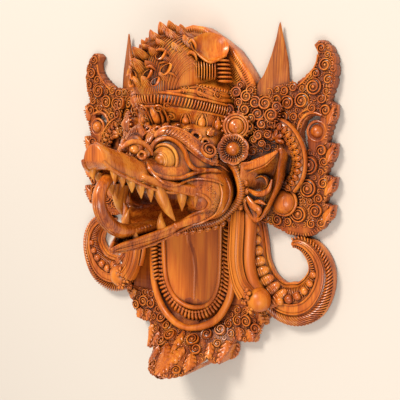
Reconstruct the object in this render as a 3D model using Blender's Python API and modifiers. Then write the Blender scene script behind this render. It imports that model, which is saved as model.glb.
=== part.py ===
"""A garuda mask carved from one block of wood, lying on its back with the face up.

X runs across the face, Y from the beard up to the crest, Z out of the face. The flat
back lies on Z = 0, and the origin is in the middle of the back.
"""
import math

import bmesh
import bpy
from mathutils import Matrix, Vector
from mathutils.bvhtree import BVHTree

# Driving dimensions, in metres
MASK_HEIGHT = 0.360
EDGE_THICKNESS = 0.011
HOLLOW_WIDTH = 0.080
HOLLOW_HEIGHT = 0.088
HOLLOW_DEPTH = 0.034

# The carver's grid: the height is 360 parts, and every form is laid out in parts
PART = MASK_HEIGHT / 360
MIDDLE = 4.3
EDGE = EDGE_THICKNESS / PART
GRAIN_OF_CUT = 1.7
FACET_TARGET = 9200
NAME = "garuda_mask"


def at(across, up, out):
    """Gives the place of a point on the carver's grid."""
    return Vector((across, up - MIDDLE, out)) * PART


def smooth_path(stations, steps):
    """Runs a smooth curve through stations, which may carry widths after their place."""
    ends = [stations[0]] + list(stations) + [stations[-1]]
    path = []
    for a, b, c, d in zip(ends, ends[1:], ends[2:], ends[3:]):
        for step in range(steps):
            t = step / steps
            path.append(tuple(
                0.5 * (2 * q + (r - p) * t + (2 * p - 5 * q + 4 * r - s) * t * t
                       + (3 * q - p - 3 * r + s) * t ** 3)
                for p, q, r, s in zip(a, b, c, d)))
    path.append(tuple(stations[-1]))
    return path


def skin(shape, rings):
    """Lofts closed rings of equal count and caps the first and the last."""
    rows = [[shape.verts.new(corner) for corner in ring] for ring in rings]
    for first, second in zip(rows, rows[1:]):
        for i in range(len(first)):
            j = (i + 1) % len(first)
            shape.faces.new((first[i], first[j], second[j], second[i]))
    shape.faces.new(list(reversed(rows[0])))
    shape.faces.new(rows[-1])


def oval(shape, centre, radii, turn=Matrix.Identity(4), fineness=3):
    """Adds an egg-shaped form, such as a cheek, an eye or a boss."""
    scale = Matrix.Diagonal([radius * PART for radius in radii] + [1])
    matrix = Matrix.Translation(at(*centre)) @ turn @ scale
    bmesh.ops.create_icosphere(shape, subdivisions=fineness, radius=1, matrix=matrix)


def spike(shape, base, tip, radius, sides=8):
    """Adds a tooth or thorn: a cone from its base to its tip."""
    start = at(*base)
    reach = at(*tip) - start
    aim = reach.to_track_quat("Z", "Y").to_matrix().to_4x4()
    matrix = Matrix.Translation(start + reach / 2) @ aim
    bmesh.ops.create_cone(shape, cap_ends=True, segments=sides, radius1=radius * PART,
                          radius2=radius * PART * 0.12, depth=reach.length, matrix=matrix)


def strap(shape, stations, lift, steps=3, sides=12):
    """Sweeps a band along stations (across, up, out, half width, half height).

    lift is the direction that the half height is measured in.
    """
    path = smooth_path(stations, steps)
    places = [at(*station[:3]) for station in path]
    rings = []
    for i, station in enumerate(path):
        along = places[min(i + 1, len(path) - 1)] - places[max(i - 1, 0)]
        beside = along.cross(lift).normalized() * station[3] * PART
        above = beside.cross(along).normalized() * station[4] * PART
        rings.append([places[i] + beside * math.cos(k * math.tau / sides)
                      + above * math.sin(k * math.tau / sides) for k in range(sides)])
    skin(shape, rings)


def mesh_into(shape, source):
    """Moves a curve object's shape into the carving and removes the curve."""
    graph = bpy.context.evaluated_depsgraph_get()
    mesh = bpy.data.meshes.new_from_object(source.evaluated_get(graph))
    mesh.transform(source.matrix_world)
    shape.from_mesh(mesh)
    bpy.data.objects.remove(source)
    bpy.data.meshes.remove(mesh)


def slab(shape, outlines, low, high):
    """Adds a flat fretted plate between two heights; inner outlines are its holes."""
    curve = bpy.data.curves.new("outline", "CURVE")
    curve.dimensions = "2D"
    curve.fill_mode = "BOTH"
    curve.extrude = (high - low) / 2 * PART
    for outline in outlines:
        spline = curve.splines.new("POLY")
        spline.points.add(len(outline) - 1)
        spline.use_cyclic_u = True
        for corner, (across, up) in zip(spline.points, outline):
            corner.co = (*at(across, up, 0), 1)
    plate = bpy.data.objects.new("outline", curve)
    plate.location.z = (low + high) / 2 * PART
    bpy.context.scene.collection.objects.link(plate)
    bpy.context.view_layer.update()
    mesh_into(shape, plate)


def rods(shape, strands):
    """Adds round ridges; each strand is a list of (across, up, out, radius)."""
    curve = bpy.data.curves.new("ridges", "CURVE")
    curve.dimensions = "3D"
    curve.bevel_depth = PART
    curve.bevel_resolution = 1
    curve.use_fill_caps = True
    for strand in strands:
        spline = curve.splines.new("POLY")
        spline.points.add(len(strand) - 1)
        for knot, (across, up, out, radius) in zip(spline.points, strand):
            knot.co = (*at(across, up, out), 1)
            knot.radius = radius
    ridges = bpy.data.objects.new("ridges", curve)
    bpy.context.scene.collection.objects.link(ridges)
    bpy.context.view_layer.update()
    mesh_into(shape, ridges)


# The wings: outline of the right half, from the crest round to the throat
WING_EDGE = [
    (-3, 122), (76, 122), (113, 121), (121, 126), (133, 136), (138, 144), (138.5, 151),
    (134.5, 158), (139, 162), (145, 162), (152, 156), (157, 146), (158.5, 134), (157, 122),
    (152, 106), (159, 102), (157, 88), (151, 67), (160, 66), (158, 52), (150, 36),
    (161, 34), (158, 22), (150, 9), (160, 7), (157, -5), (149, -16), (138, -24),
    (128, -27), (112, -25), (99, -20), (85, -15), (78, -22), (77, -42), (80, -62),
    (90, -84), (84, -112), (60, -134), (-3, -138)]
COMMA_HOLE = [(143, 91), (134, 92), (127, 87), (123, 76), (124, 66), (128, 58),
              (132, 60), (130, 68), (131, 76), (136, 83), (143, 85)]
# The scroll under each wing: its centre line and half width
SCROLL = [
    (72, -8, 9), (76, -34, 11), (79, -57, 12), (87, -77, 15), (101, -91, 19), (117, -95, 22),
    (133, -90, 21), (144, -76, 17), (148.5, -59, 13), (144, -45, 11), (135.5, -36, 9),
    (126, -32, 6.5), (119, -33.5, 4)]
SCROLL_RISE = 17
# The lower edge of the beard, from the middle tip outwards
BEARD_EDGE = [
    (0, -175.5), (12, -176), (22, -174), (30, -166), (35, -160), (41, -164), (47, -165),
    (52, -154), (57, -141), (67, -142), (77, -140), (81, -129), (88, -118), (94, -112)]
# The crown: height up the face, half width and reach out of the face
CROWN = [(70, 58, 66), (80, 58, 69), (88, 58, 74), (95, 57, 82), (101, 55, 90),
         (108, 54, 95), (114, 53, 94), (118, 51, 86), (123, 47, 74), (128, 42, 52)]
# The upper beak: reach, half width, top, lip, palate
BEAK = [(44, 44, 78, 8, 30), (60, 50, 72, 10, 27), (72, 47, 66, 15, 29), (84, 41, 58, 18, 30),
        (98, 33, 53, 18, 32), (112, 26.5, 51, 21, 36), (124, 22, 54, 25.5, 40),
        (138, 19, 58, 31.5, 45), (152, 17, 61.5, 37.5, 49), (163, 15.5, 64.5, 43, 52),
        (169, 12, 65, 49, 54)]
# The lower beak: reach, half width, rim, floor, keel
JAW = [(40, 52, 12, 4, -20), (58, 50, 7, -4, -24), (75, 40.5, -5, -13, -28),
       (90, 32, -13, -21, -32), (106, 23, -19, -26, -35), (122, 14, -24, -29, -37.5),
       (136, 6.5, -28, -31, -38.5), (146.5, 1.2, -33, -34, -37)]
# The open mouth: reach, half width, top, bottom
MOUTH = [(46, 26, 18, 3), (54, 39, 22, -2), (64, 43, 25, -5), (76, 36, 29, -10),
         (92, 26, 34, -17), (112, 18, 40, -23)]
# Teeth in the upper beak: reach, length, radius, lean back
TEETH = [(156, 9, 3.4, 1), (147, 10, 3.6, 2), (136, 11, 4.2, 2), (126, 13, 4.4, 3),
         (116, 13, 4.2, 3), (86, 19, 5.4, 2)]
FANG = [(23.5, 29, 108, 6.2), (25, 21, 107, 6.4), (28, 11, 104, 5.6), (30.5, 1, 99, 4),
        (33, -9, 92, 0.8)]
# The tongue: across, up, out, half thickness, half width
TONGUE = [(0, -17, 84, 6, 13), (0, -19, 104, 6.5, 11), (0, -18, 126, 7, 9.5),
          (0, -12, 143, 6.5, 8), (0, -1, 156, 6.5, 7), (0, 12, 162, 6, 6.5), (0, 24, 159, 6, 6),
          (0, 33, 150, 5, 5.5), (0, 33, 143, 3.5, 4), (0, 27, 143, 1.5, 2)]
# Upright horns: distance along the blade and height up the face
HORN_EDGE = [(-2, 100), (0, 120), (7, 132), (13, 148), (18, 166), (21.5, 182), (24.5, 171),
             (28, 157), (31, 143), (32, 130), (33, 116), (33, 100)]
HORN_ROOT = (76, 15)
HORN_RUN = (0.91, -0.41)
HORN_HALF_THICKNESS = 3.4
# The ear's rim as (across, up, out)
EAR_RIM = [(76, 46, 44), (92, 49, 42), (106, 56, 41), (118, 61, 41), (116, 46, 40),
           (114, 31, 38), (106, 12, 35), (96, -3, 31), (84, -14, 27), (74, -4, 30),
           (70, 12, 34), (72, 30, 40)]
# Bosses in the leafwork: across, up, radius
WING_BOSSES = [
    (145, 143, 7), (144, 129, 7), (134, 117, 7.5), (121, 107, 7.5), (147, 101, 7),
    (107, 104, 8), (104, 88, 7), (135, 46, 9), (148, 59, 6.5), (133, 23, 9), (148, 29, 6.5),
    (122, -3, 9), (142, 0, 7.5), (101, -8, 7)]
SCROLL_BEADS = [(112, -90), (124, -87), (134, -81), (142, -72), (147, -60)]
CROWN_BOSSES = [(56, 97, 8), (80, 92, 8), (90, 106, 7)]
BEARD_BOSSES = [(14, -150, 8), (30, -143, 8), (46, -150, 8), (56, -130, 8), (72, -130, 7.5),
                (12, -166, 6)]

# Directions and fans of angles
UP = Vector((0, 0, 1))
UP_AND_OUT = Vector((0, 0.7, 0.7))
ACROSS = Vector((1, 0, 0))
ARCH = [math.pi * k / 14 for k in range(15)]
BAND = [math.radians(-12 + 204 * k / 40) for k in range(41)]
HOLLOW_MIDDLE = 44
THROAT = [(-3, 10), (50, 10), (52, -72), (48, -101), (31, -126), (-3, -136)]
CREST_FAN = [(0, 184.5), (15, 181.5), (34, 170), (52, 157), (64, 142), (71, 132), (76, 122),
             (76, 105), (0, 105)]
CREST_LEAVES = [
    [(0, 128, 100, 12, 5), (0, 143, 106, 14, 6), (0, 154, 115, 2, 2)],
    [(0, 150, 92, 14, 6), (0, 163, 88, 12, 6), (0, 171, 86, 2, 2)],
    [(0, 160, 78, 14, 6), (0, 172, 74, 11, 6), (0, 181, 74, 2, 2)],
    [(0, 164, 58, 14, 6), (0, 175, 58, 11, 6), (0, 184, 59, 2, 2)],
    [(12, 118, 88, 9, 5), (11, 132, 93, 9, 6), (9, 142, 98, 2, 2)],
    [(13, 140, 82, 9, 5), (10, 151, 82, 9, 6), (8, 159, 86, 2, 2)],
    [(12, 158, 60, 10, 5), (10, 170, 62, 9, 5), (9, 180, 62, 2, 2)]]
EYE = (18, 49, 88)


def crown_front(across, up):
    """Tells how far the crown reaches out at a place on the face."""
    low, high = next((pair for pair in zip(CROWN, CROWN[1:]) if pair[1][0] >= up), CROWN[-2:])
    share = (up - low[0]) / (high[0] - low[0])
    wide = low[1] + (high[1] - low[1]) * share
    deep = low[2] + (high[2] - low[2]) * share
    return deep * math.sqrt(max(0.0, 1 - (across / wide) ** 2))


def beard_rise(across, up):
    """Tells how far the beard curls out of the face at a place."""
    fall = min(1.0, max(0.0, (-127 - up) / 48))
    return 12 + 64 * fall ** 1.1 * math.exp(-(across / 48) ** 2)


def along_table(table, reach):
    """Reads a row of a table of sections at a reach between two of its rows."""
    low, high = next((pair for pair in zip(table, table[1:]) if pair[1][0] >= reach),
                     table[-2:])
    share = (reach - low[0]) / (high[0] - low[0])
    return [a + (b - a) * share for a, b in zip(low, high)]


def carve_wings(half):
    """The fretted side plates, the scrolls that hang from them and the collar."""
    slab(half, [WING_EDGE, COMMA_HOLE], -1, EDGE)
    oval(half, (0, 52, -20), (125, 92, 52))
    oval(half, (140, 77, EDGE * 0.7), (7, 7, 8))
    strap(half, [(across, up, 4, wide, SCROLL_RISE - 4) for across, up, wide in SCROLL], UP)
    collar = [(92, 84), (108, 80), (120, 67), (126, 50), (124, 34), (116, 22)]
    strap(half, [(across, up, 13, 6.5, 8) for across, up in collar], UP)
    oval(half, (109, 8, 15), (12.5, 12.5, 10))


def carve_throat(half):
    """The smooth throat with its raised rims, and the stem and ball beside it."""
    slab(half, [THROAT], -1, 14)
    inner = [(38, -20, 18, 2.6), (37, -55, 17, 2.6), (34, -88, 16, 2.6), (22, -109, 15, 2.6),
             (0, -116, 15, 2.6)]
    outer = [(52, -20, 18, 4), (52, -72, 17, 4.5), (48, -101, 17, 5), (31, -126, 20, 5.5),
             (0, -137, 25, 6)]
    rods(half, [smooth_path(inner, 4), smooth_path(outer, 4)])
    stem = [(62, 0, 24, 8, 8), (65, -18, 29, 8.5, 9), (65, -53, 30, 8, 9), (70, -75, 30, 8.5, 9),
            (78, -87, 29, 10, 10)]
    strap(half, stem, UP)
    oval(half, (90, -91, 27), (12.5, 12.5, 12.5))


def carve_beard(whole):
    """The leafy beard, which curls out of the face to its middle tip."""
    rings = []
    for i in range(-31, 32):
        across = i * 3.0
        edge = along_table(BEARD_EDGE, abs(across))[1]
        front = [(edge + (-104 - edge) * (1 - k / 7)) for k in range(8)]
        ring = [at(across, up, beard_rise(across, up)) for up in front]
        ring += [at(across, up, beard_rise(across, up) - 13 + 6 * k / 7)
                 for k, up in reversed(list(enumerate(front)))]
        rings.append(ring)
    skin(whole, rings)


def carve_head(whole):
    """The skull and cheeks, with the mouth cut into them."""
    oval(whole, (0, 45, 15), (64, 58, 80), fineness=4)
    for side in (-1, 1):
        oval(whole, (side * 40, 17, 44), (25, 30, 36), fineness=4)


def carve_beak(whole):
    """The upper beak over the palate and the lower beak under the tongue."""
    rings = []
    for reach, wide, top, lip, palate in smooth_path(BEAK, 3):
        over = [(wide * math.cos(a), lip + (top - lip) * math.sin(a) ** 0.9) for a in ARCH]
        under = [((wide - 5) * math.cos(a), lip + (palate - lip) * math.sin(a)) for a in ARCH]
        rings.append([at(x, y, reach) for x, y in over + under[::-1]])
    skin(whole, rings)
    rings = []
    for reach, wide, rim, floor, keel in smooth_path(JAW, 3):
        inner = max(wide - 4.5, wide * 0.5)
        below = [(wide * math.cos(a), rim + (keel - rim) * math.sin(a) ** 0.8) for a in ARCH]
        above = [(inner * math.cos(a), rim + (floor - rim) * math.sin(a)) for a in ARCH]
        rings.append([at(x, y, reach) for x, y in below + above[::-1]])
    skin(whole, rings)


def carve_teeth(half):
    """Pointed teeth, the long fangs and the lower pair."""
    for reach, length, radius, lean in TEETH:
        _, wide, _, lip, _ = along_table(BEAK, reach)
        spike(half, (wide - 4, lip + 3, reach), (wide - 4.5, lip - length, reach - lean), radius)
    for reach, length in ((121, 15), (100, 11)):
        _, wide, rim, _, _ = along_table(JAW, reach)
        spike(half, (wide - 4, rim - 3, reach), (wide - 5, rim + length, reach + 1), 4)
    rods(half, [smooth_path(FANG, 4)])


def carve_crown(whole):
    """The flared crown above the forehead."""
    rings = []
    for up, wide, deep in smooth_path(CROWN, 2):
        rings.append([at(wide * math.cos(a), up, deep * math.sin(a)) for a in BAND])
    skin(whole, rings)


def carve_crest(whole):
    """The crest that rolls forward over the crown, with its leaf tips."""
    slab(whole, [CREST_FAN + [(-x, y) for x, y in reversed(CREST_FAN)]], -1, 20)
    oval(whole, (0, 128, 40), (36, 46, 62), fineness=4)
    for leaf in CREST_LEAVES:
        for side in (-1, 1) if leaf[-1][0] else (1,):
            strap(whole, [(side * across, *rest) for across, *rest in leaf], UP_AND_OUT)
    for side in (-1, 1):
        oval(whole, (side * 32, 153, 41), (14, 15, 16))


def carve_horns(half):
    """The plain upright blades beside the crest."""
    run_across, run_out = HORN_RUN
    sides = []
    for lift in (-HORN_HALF_THICKNESS, HORN_HALF_THICKNESS):
        sides.append([at(HORN_ROOT[0] + s * run_across - lift * run_out, up,
                         HORN_ROOT[1] + s * run_out + lift * run_across)
                      for s, up in HORN_EDGE])
    skin(half, sides)


def carve_ear(half):
    """The pointed ear with its hollow."""
    middle = (96, 25, 36)
    rings = []
    for share, sink in ((0.75, 30), (1.0, 5), (1.0, 0), (0.8, 1.5), (0.5, 13)):
        rings.append([at(*[m + (r - m) * share for m, r in zip(middle[:2], rim[:2])],
                         rim[2] - sink) for rim in EAR_RIM])
    skin(half, rings)


def carve_eye(half):
    """The bulging eye in its lids, the brow and the nostril curl."""
    gaze = Vector((0.5, 0.05, 0.86)).normalized()
    beside = gaze.cross(Vector((0, 1, 0))).normalized()
    above = beside.cross(gaze)
    oval(half, EYE, (12, 12, 12))
    pupil = [e + 10.5 * g for e, g in zip(EYE, gaze)]
    oval(half, pupil, (4.6, 4.6, 4.6))
    lids = []
    for radius, depth, thick in ((13, 1, 2.4), (18, -4, 2.6)):
        lids.append([(*[e + gaze[i] * depth + radius * (beside[i] * math.cos(k * math.tau / 20)
                                                        + above[i] * math.sin(k * math.tau / 20))
                        for i, e in enumerate(EYE)], thick) for k in range(21)])
    rods(half, lids)
    brow = [(8, 70, 84, 3, 4), (17, 73, 80, 6, 6), (30, 66, 74, 9, 7), (42, 55, 66, 9, 7),
            (53, 45, 56, 7, 6), (60, 42, 46, 2, 3)]
    strap(half, brow, Vector((0.4, 0.3, 0.85)))
    oval(half, (10, 52, 112), (6, 6, 6))
    lip = [(21, 35, 127, 3, 4), (28, 28, 110, 4, 5), (36, 23, 94, 5, 5), (46, 18, 76, 5.5, 6),
           (54, 13, 60, 6, 6), (57, 4, 52, 6, 6), (52, -4, 58, 5.5, 5), (42, -9, 74, 4.5, 4.5),
           (31, -15, 91, 3.5, 3.5)]
    strap(half, lip, Vector((0.8, 0, 0.6)))


def carve_cheek_ring(half):
    """The scalloped ring around the cheek."""
    ring = [(56, 50, 42, 4.5), (68, 39, 39, 5), (71, 16, 33, 5), (62, 0, 33, 5),
            (46, -14, 38, 5), (26, -20, 48, 4), (8, -24, 56, 3)]
    rods(half, [smooth_path(ring, 4)])


def carve_ornament(half, ground):
    """Curls, bosses and beads, seated on the ground that is already carved."""
    def seat(across, up):
        """Finds the height of the ground under a place."""
        hit = ground.ray_cast(at(across, up, 300), Vector((0, 0, -1)))[0]
        return hit.z / PART if hit else EDGE

    for across, up, radius in WING_BOSSES + CROWN_BOSSES + BEARD_BOSSES:
        oval(half, (across, up, seat(across, up) - 1), (radius, radius, 5), fineness=2)
    for across, up in SCROLL_BEADS:
        oval(half, (across, up, seat(across, up)), (5, 5, 5), fineness=2)
    for across, up, out, radius, depth in ((61, 60, 44, 11, 9), (64, 82, 32, 9, 18)):
        oval(half, (across, up, out), (radius, radius, depth), fineness=2)
    for k in range(6):
        across = 6 + 10.5 * k
        up = 85
        oval(half, (across, up, crown_front(across, up)), (4.6, 8, 4.6), fineness=2)


def mirror_across(shape):
    """Adds the other half of the face to a half carving."""
    twin = bmesh.ops.duplicate(shape, geom=shape.verts[:] + shape.edges[:] + shape.faces[:])
    corners = [item for item in twin["geom"] if isinstance(item, bmesh.types.BMVert)]
    faces = [item for item in twin["geom"] if isinstance(item, bmesh.types.BMFace)]
    bmesh.ops.scale(shape, vec=(-1, 1, 1), verts=corners)
    bmesh.ops.reverse_faces(shape, faces=faces)


def new_object(shape, name, collection):
    """Makes an object from a carving's shape."""
    mesh = bpy.data.meshes.new(name)
    shape.to_mesh(mesh)
    shape.free()
    made = bpy.data.objects.new(name, mesh)
    collection.objects.link(made)
    return made


def fuse(block, cut):
    """Makes one closed skin of overlapping forms."""
    remesh = block.modifiers.new("one skin", "REMESH")
    remesh.mode = "VOXEL"
    remesh.voxel_size = cut * PART
    soften = block.modifiers.new("soften", "SMOOTH")
    soften.factor = 0.5
    soften.iterations = 2


def subtract(block, cutter):
    """Cuts one form out of another."""
    cut = block.modifiers.new("cut " + cutter.name, "BOOLEAN")
    cut.operation = "DIFFERENCE"
    cut.solver = "EXACT"
    cut.object = cutter


def settled(block):
    """Returns the mesh that an object's modifiers give."""
    graph = bpy.context.evaluated_depsgraph_get()
    return bpy.data.meshes.new_from_object(block.evaluated_get(graph))


def section_rings(table):
    """Rings for a space given by reach, half width, top and bottom."""
    return [[at(wide * math.cos(k * math.tau / 20),
                (top + bottom) / 2 + (top - bottom) / 2 * math.sin(k * math.tau / 20), reach)
             for k in range(20)] for reach, wide, top, bottom in table]


def make_cutter(rings, name, collection):
    """Makes a hidden cutter from a loft."""
    shape = bmesh.new()
    skin(shape, rings)
    bmesh.ops.recalc_face_normals(shape, faces=shape.faces[:])
    cutter = new_object(shape, name, collection)
    cutter.hide_render = True
    cutter.display_type = "WIRE"
    return cutter


def hollow_rings():
    """Rings for the recess gouged into the back."""
    rings = []
    for share, rise in ((1.0, -0.2), (1.0, 0.2), (0.93, 0.6), (0.8, 0.85), (0.55, 1.0)):
        rings.append([Vector((HOLLOW_WIDTH / 2 * share * math.cos(k * math.tau / 28),
                              HOLLOW_HEIGHT / 2 * share * math.sin(k * math.tau / 28)
                              + at(0, HOLLOW_MIDDLE, 0).y, HOLLOW_DEPTH * rise))
                      for k in range(28)])
    return rings


def wood():
    """Oiled tropical hardwood: warm orange brown with a soft shine."""
    material = bpy.data.materials.new("carved wood")
    material.use_nodes = True
    shader = material.node_tree.nodes["Principled BSDF"]
    shader.inputs["Base Color"].default_value = (0.45, 0.13, 0.03, 1)
    shader.inputs["Roughness"].default_value = 0.4
    shader.inputs["Metallic"].default_value = 0
    return material


def back_rings():
    """Rings for the block below the back plane, which the saw takes off."""
    half = MASK_HEIGHT
    square = ((-half, -half), (half, -half), (half, half), (-half, half))
    return [[Vector((x, y, z)) for x, y in square] for z in (-half, 0)]


def main():
    """Carves the mask."""
    for thing in list(bpy.data.objects):
        bpy.data.objects.remove(thing)
    scene = bpy.context.scene
    parts = bpy.data.collections.new("garuda mask")
    cutters = bpy.data.collections.new("cutters")
    scene.collection.children.link(parts)
    scene.collection.children.link(cutters)

    mouth = make_cutter(section_rings(MOUTH), "mouth", cutters)
    hollow = make_cutter(hollow_rings(), "hollow", cutters)
    saw = make_cutter(back_rings(), "saw", cutters)

    shape = bmesh.new()
    carve_head(shape)
    head = new_object(shape, "head", scene.collection)
    fuse(head, GRAIN_OF_CUT)
    subtract(head, mouth)
    head_mesh = settled(head)
    bpy.data.objects.remove(head)

    half = bmesh.new()
    for carve in (carve_wings, carve_throat, carve_teeth, carve_horns, carve_ear, carve_eye,
                  carve_cheek_ring):
        carve(half)
    mirror_across(half)
    whole = half
    whole.from_mesh(head_mesh)
    for carve in (carve_beard, carve_beak, carve_crown, carve_crest):
        carve(whole)
    strap(whole, TONGUE, ACROSS)
    ground = BVHTree.FromBMesh(whole)

    ornament = bmesh.new()
    carve_ornament(ornament, ground)
    mirror_across(ornament)
    trim = bpy.data.meshes.new("trim")
    ornament.to_mesh(trim)
    ornament.free()
    whole.from_mesh(trim)

    mask = new_object(whole, NAME, parts)
    fuse(mask, GRAIN_OF_CUT)
    count = len(settled(mask).polygons) * 2
    thin = mask.modifiers.new("facets", "DECIMATE")
    thin.ratio = FACET_TARGET / count
    subtract(mask, saw)
    subtract(mask, hollow)
    mask.data.materials.append(wood())


main()
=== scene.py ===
"""Looks of the garuda mask: the carved wood in fine relief, lying on a pale floor.

Forms are laid out on the carver's grid: the mask's height is 360 parts. Each place is
(across the face, up the face, out of the face).
"""

import math
import random

import bmesh
import bpy
import numpy as np
from mathutils import Matrix, Vector
from mathutils.bvhtree import BVHTree


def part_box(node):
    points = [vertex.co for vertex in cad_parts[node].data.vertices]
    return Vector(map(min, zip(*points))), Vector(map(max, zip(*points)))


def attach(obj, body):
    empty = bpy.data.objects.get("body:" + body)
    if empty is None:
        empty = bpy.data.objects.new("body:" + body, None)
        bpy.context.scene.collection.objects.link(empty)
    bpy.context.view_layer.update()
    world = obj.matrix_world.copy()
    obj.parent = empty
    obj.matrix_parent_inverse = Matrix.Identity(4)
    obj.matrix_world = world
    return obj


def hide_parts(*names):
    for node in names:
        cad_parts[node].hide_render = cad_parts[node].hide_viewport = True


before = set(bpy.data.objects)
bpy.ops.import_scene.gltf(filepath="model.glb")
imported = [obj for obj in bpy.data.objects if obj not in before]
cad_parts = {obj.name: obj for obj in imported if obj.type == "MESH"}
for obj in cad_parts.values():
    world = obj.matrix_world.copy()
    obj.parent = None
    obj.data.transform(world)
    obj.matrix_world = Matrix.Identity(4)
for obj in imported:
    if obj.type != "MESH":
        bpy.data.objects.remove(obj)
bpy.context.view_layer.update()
NODE = "garuda_mask"
LOW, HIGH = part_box(NODE)
PART = round(HIGH.y - LOW.y, 3) / 360
MIDDLE = 4.3
TURN = math.tau
OUT = np.array((0.0, 0.0, 1.0))
UP = np.array((0.0, 1.0, 0.0))
UP_AND_OUT = np.array((0.0, 0.7, 0.7))
ACROSS = np.array((1.0, 0.0, 0.0))
SLOPE = np.array((0.4, 0.3, 0.85))
ABOVE_ALL = 260.0
CLEAR_OF_FACE = 60
CHEEK = np.array((38, 14, 30))
SKULL = np.array((10, 45, 30))

# Shapes that the solid has too, in the same parts. Outlines are (across, up) and lines
# (across, up, out), with their half width and half height after these where they have them
WING_EDGE = [
    (-3, 122), (76, 122), (113, 121), (121, 126), (133, 136), (138, 144), (138.5, 151),
    (134.5, 158), (139, 162), (145, 162), (152, 156), (157, 146), (158.5, 134), (157, 122),
    (152, 106), (159, 102), (157, 88), (151, 67), (160, 66), (158, 52), (150, 36),
    (161, 34), (158, 22), (150, 9), (160, 7), (157, -5), (149, -16), (138, -24),
    (128, -27), (112, -25), (99, -20), (85, -15), (78, -22), (77, -42), (80, -62),
    (90, -84), (84, -112), (60, -134), (-3, -138)]
COMMA_HOLE = [(143, 91), (134, 92), (127, 87), (123, 76), (124, 66), (128, 58),
              (132, 60), (130, 68), (131, 76), (136, 83), (143, 85)]
# Across, up, half width
SCROLL = [
    (72, -8, 9), (76, -34, 11), (79, -57, 12), (87, -77, 15), (101, -91, 19), (117, -95, 22),
    (133, -90, 21), (144, -76, 17), (148.5, -59, 13), (144, -45, 11), (135.5, -36, 9),
    (126, -32, 6.5), (119, -33.5, 4)]
BEARD_EDGE = [
    (0, -175.5), (12, -176), (22, -174), (30, -166), (35, -160), (41, -164), (47, -165),
    (52, -154), (57, -141), (67, -142), (77, -140), (81, -129), (88, -118), (94, -112)]
# Up, half width, half depth
CROWN = [(70, 58, 66), (80, 58, 69), (88, 58, 74), (95, 57, 82), (101, 55, 90),
         (108, 54, 95), (114, 53, 94), (118, 51, 86), (123, 47, 74), (128, 42, 52)]
# Reach out of the face, half width, top, lip, palate
BEAK = [(44, 44, 78, 8, 30), (60, 50, 72, 10, 27), (72, 47, 66, 15, 29), (84, 41, 58, 18, 30),
        (98, 33, 53, 18, 32), (112, 26.5, 51, 21, 36), (124, 22, 54, 25.5, 40),
        (138, 19, 58, 31.5, 45), (152, 17, 61.5, 37.5, 49), (163, 15.5, 64.5, 43, 52),
        (169, 12, 65, 49, 54)]
# Reach, half width, rim, floor, keel
JAW = [(40, 52, 12, 4, -20), (58, 50, 7, -4, -24), (75, 40.5, -5, -13, -28),
       (90, 32, -13, -21, -32), (106, 23, -19, -26, -35), (122, 14, -24, -29, -37.5),
       (136, 6.5, -28, -31, -38.5), (146.5, 1.2, -33, -34, -37)]
# Reach, half width, top, bottom
MOUTH = [(46, 26, 18, 3), (54, 39, 22, -2), (64, 43, 25, -5), (76, 36, 29, -10),
         (92, 26, 34, -17), (112, 18, 40, -23)]
# Reach, length, radius, lean
TEETH = [(156, 9, 3.4, 1), (147, 10, 3.6, 2), (136, 11, 4.2, 2), (126, 13, 4.4, 3),
         (116, 13, 4.2, 3), (86, 19, 5.4, 2)]
FANG = [(23.5, 29, 108, 6.2), (25, 21, 107, 6.4), (28, 11, 104, 5.6), (30.5, 1, 99, 4),
        (33, -9, 92, 0.8)]
TONGUE = [(0, -17, 84, 6, 13), (0, -19, 104, 6.5, 11), (0, -18, 126, 7, 9.5),
          (0, -12, 143, 6.5, 8), (0, -1, 156, 6.5, 7), (0, 12, 162, 6, 6.5), (0, 24, 159, 6, 6),
          (0, 33, 150, 5, 5.5), (0, 33, 143, 3.5, 4), (0, 27, 143, 1.5, 2)]
# Along the blade and up; then its foot and the way it runs, (across, out)
HORN_EDGE = [(-2, 100), (0, 120), (7, 132), (13, 148), (18, 166), (21.5, 182), (24.5, 171),
             (28, 157), (31, 143), (32, 130), (33, 116), (33, 100)]
HORN_ROOT = (76, 15)
HORN_RUN = (0.91, -0.41)
EAR_RIM = [(76, 46, 44), (92, 49, 42), (106, 56, 41), (118, 61, 41), (116, 46, 40),
           (114, 31, 38), (106, 12, 35), (96, -3, 31), (84, -14, 27), (74, -4, 30),
           (70, 12, 34), (72, 30, 40)]
EAR_MIDDLE = (96, 25, 36)
CREST_FAN = [(0, 184.5), (15, 181.5), (34, 170), (52, 157), (64, 142), (71, 132), (76, 122),
             (76, 105), (0, 105)]
EYE = np.array((18.0, 49.0, 88.0))
LIP = [(21, 35, 127, 3, 4), (28, 28, 110, 4, 5), (36, 23, 94, 5, 5), (46, 18, 76, 5.5, 6),
       (54, 13, 60, 6, 6), (57, 4, 52, 6, 6), (52, -4, 58, 5.5, 5), (42, -9, 74, 4.5, 4.5),
       (31, -15, 91, 3.5, 3.5)]
BROW = [(6, 70, 88, 2.5, 3), (16, 75, 84, 5, 4), (29, 71, 79, 6.5, 4.5), (41, 62, 73, 6.5, 5),
        (50, 53, 66, 6, 5), (57, 47, 60, 4, 4)]
CHEEK_RING = [(56, 50, 42, 4.5), (68, 39, 39, 5), (71, 16, 33, 5), (62, 0, 33, 5),
              (46, -14, 38, 5), (26, -20, 48, 4), (8, -24, 56, 3)]
STEM = [(62, 0, 24, 8, 8), (65, -18, 29, 8.5, 9), (65, -53, 30, 8, 9), (70, -75, 30, 8.5, 9),
        (78, -87, 29, 10, 10)]
# Raised rims round the throat, and the middle of the collar
INNER_RIM = [(38, -20, 18), (37, -55, 17), (34, -88, 16), (22, -109, 15), (0, -116, 15)]
OUTER_RIM = [(52, -20, 18), (52, -72, 17), (48, -101, 17), (31, -126, 20), (0, -137, 25)]
COLLAR = [(92, 84), (108, 80), (120, 67), (126, 50), (124, 34), (116, 22)]
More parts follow.
